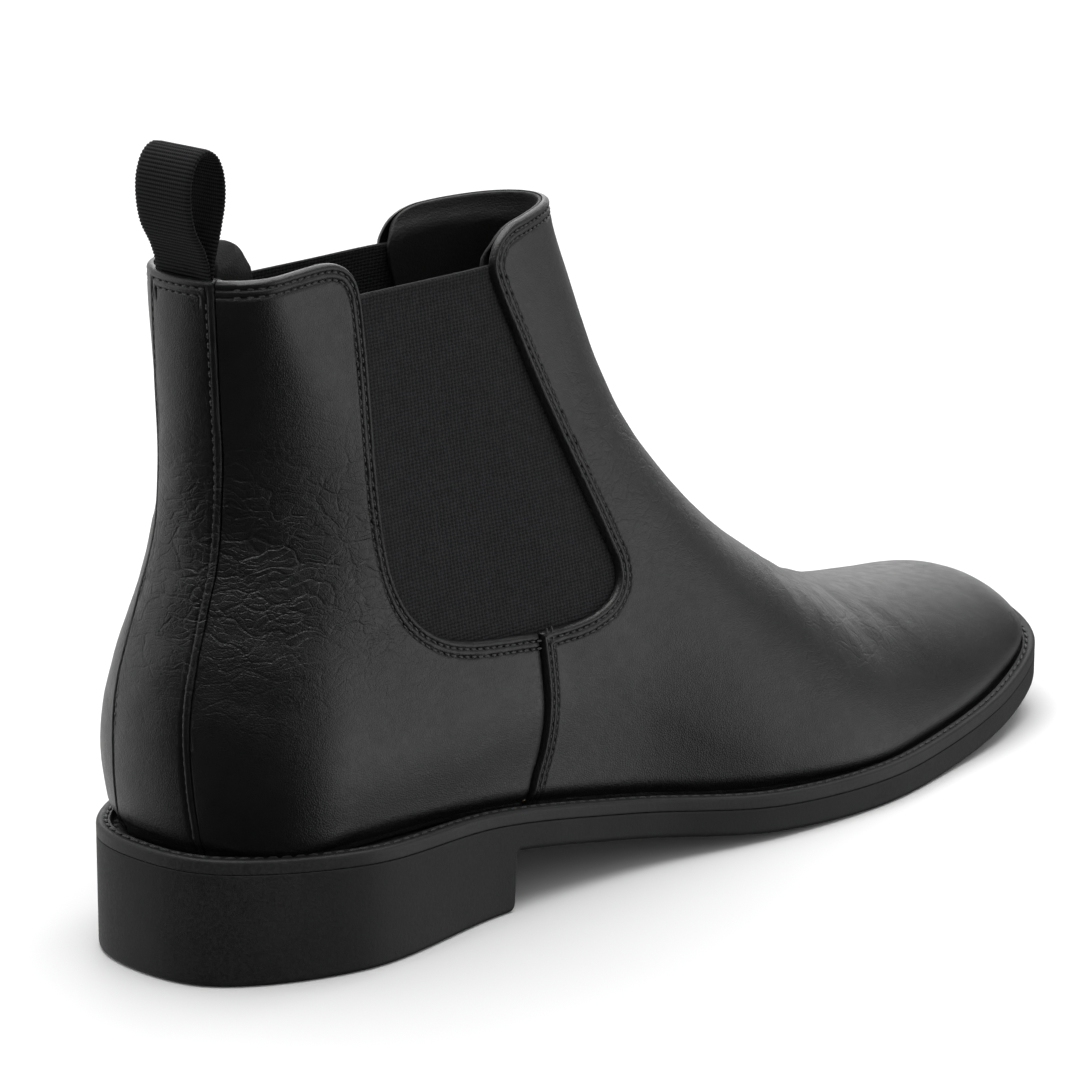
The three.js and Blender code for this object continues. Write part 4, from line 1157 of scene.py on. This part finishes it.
def add_world():
    """White to the eye, an even fill for light, and in reflections a dark studio with soft bright parts near
    the toe's outer side, beyond the boot's inner side, past the toe and above."""
    world = bpy.data.worlds.new("studio")
    world.use_nodes = True
    bpy.context.scene.world = world
    tree = world.node_tree

    def node(kind, **settings):
        made = tree.nodes.new(kind)
        for key, value in settings.items():
            setattr(made, key, value)
        return made

    def background(colour, strength=1.0):
        made = node("ShaderNodeBackground")
        made.inputs["Color"].default_value = (colour, colour, colour, 1)
        made.inputs["Strength"].default_value = strength
        return made

    direction = node("ShaderNodeTexCoord").outputs["Generated"]
    brightest = None
    for centre, start, end, strength in MIRRORED_STUDIO:
        towards = node("ShaderNodeVectorMath", operation="DOT_PRODUCT")
        tree.links.new(direction, towards.inputs[0])
        towards.inputs[1].default_value = centre
        ramp = node("ShaderNodeMapRange", interpolation_type="SMOOTHSTEP")
        tree.links.new(towards.outputs["Value"], ramp.inputs["Value"])
        sockets = {"From Min": start, "From Max": end, "To Min": DARK_SIDE, "To Max": strength}
        for socket, value in sockets.items():
            ramp.inputs[socket].default_value = value
        if brightest is None:
            brightest = ramp.outputs["Result"]
            continue
        most = node("ShaderNodeMath", operation="MAXIMUM")
        tree.links.new(brightest, most.inputs[0])
        tree.links.new(ramp.outputs["Result"], most.inputs[1])
        brightest = most.outputs[0]
    mirrored = background(1.0)
    tree.links.new(brightest, mirrored.inputs["Strength"])
    path = node("ShaderNodeLightPath")
    lit_or_mirrored = node("ShaderNodeMixShader")
    tree.links.new(path.outputs["Is Glossy Ray"], lit_or_mirrored.inputs[0])
    tree.links.new(background(FILL).outputs[0], lit_or_mirrored.inputs[1])
    tree.links.new(mirrored.outputs[0], lit_or_mirrored.inputs[2])
    seen = node("ShaderNodeMixShader")
    tree.links.new(path.outputs["Is Camera Ray"], seen.inputs[0])
    tree.links.new(lit_or_mirrored.outputs[0], seen.inputs[1])
    tree.links.new(background(1.0).outputs[0], seen.inputs[2])
    tree.links.new(seen.outputs[0], tree.nodes["World Output"].inputs[0])
    bpy.context.scene.view_settings.view_transform = "Standard"


def add_lights():
    middle = spot(140, 0, 70)
    add_light("overhead", (1.6, 1.6), 26, middle + Vector((0.1, 0.1, 1.5)), middle)
    add_light("left_back", (0.5, 1.2), 1.5, middle + Vector((-1.2, 1.2, 0.5)), middle)
    add_light("right_front", (0.8, 1.4), 5, middle + Vector((1.1, 1.3, 0.8)), middle)


materials = make_materials()


def dress_frame():
    """Finishes for the CAD parts that stay: stiffeners, board, shank, filler and fastenings."""
    slots = {"insole_board": "fibre_board", "heel_counter": "stiffener", "toe_puff": "stiffener",
             "bottom_filler": "cork"}
    for name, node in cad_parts.items():
        if node.hide_render:
            continue
        slot_name = slots.get(name, "steel")
        node.data.materials.clear()
        node.data.materials.append(materials[slot_name])


add_camera()
add_world()
add_floor()
add_lights()
add_vamp()
add_quarter("quarter_lateral", -1)
add_quarter("quarter_medial", 1)
add_back_strip()
add_gusset("gusset_lateral", -1)
add_gusset("gusset_medial", 1)
add_linings()
add_upper_stitching()
add_back_strip_stitching()
add_sole()
add_footbed()
add_pull_loop()
dress_frame()
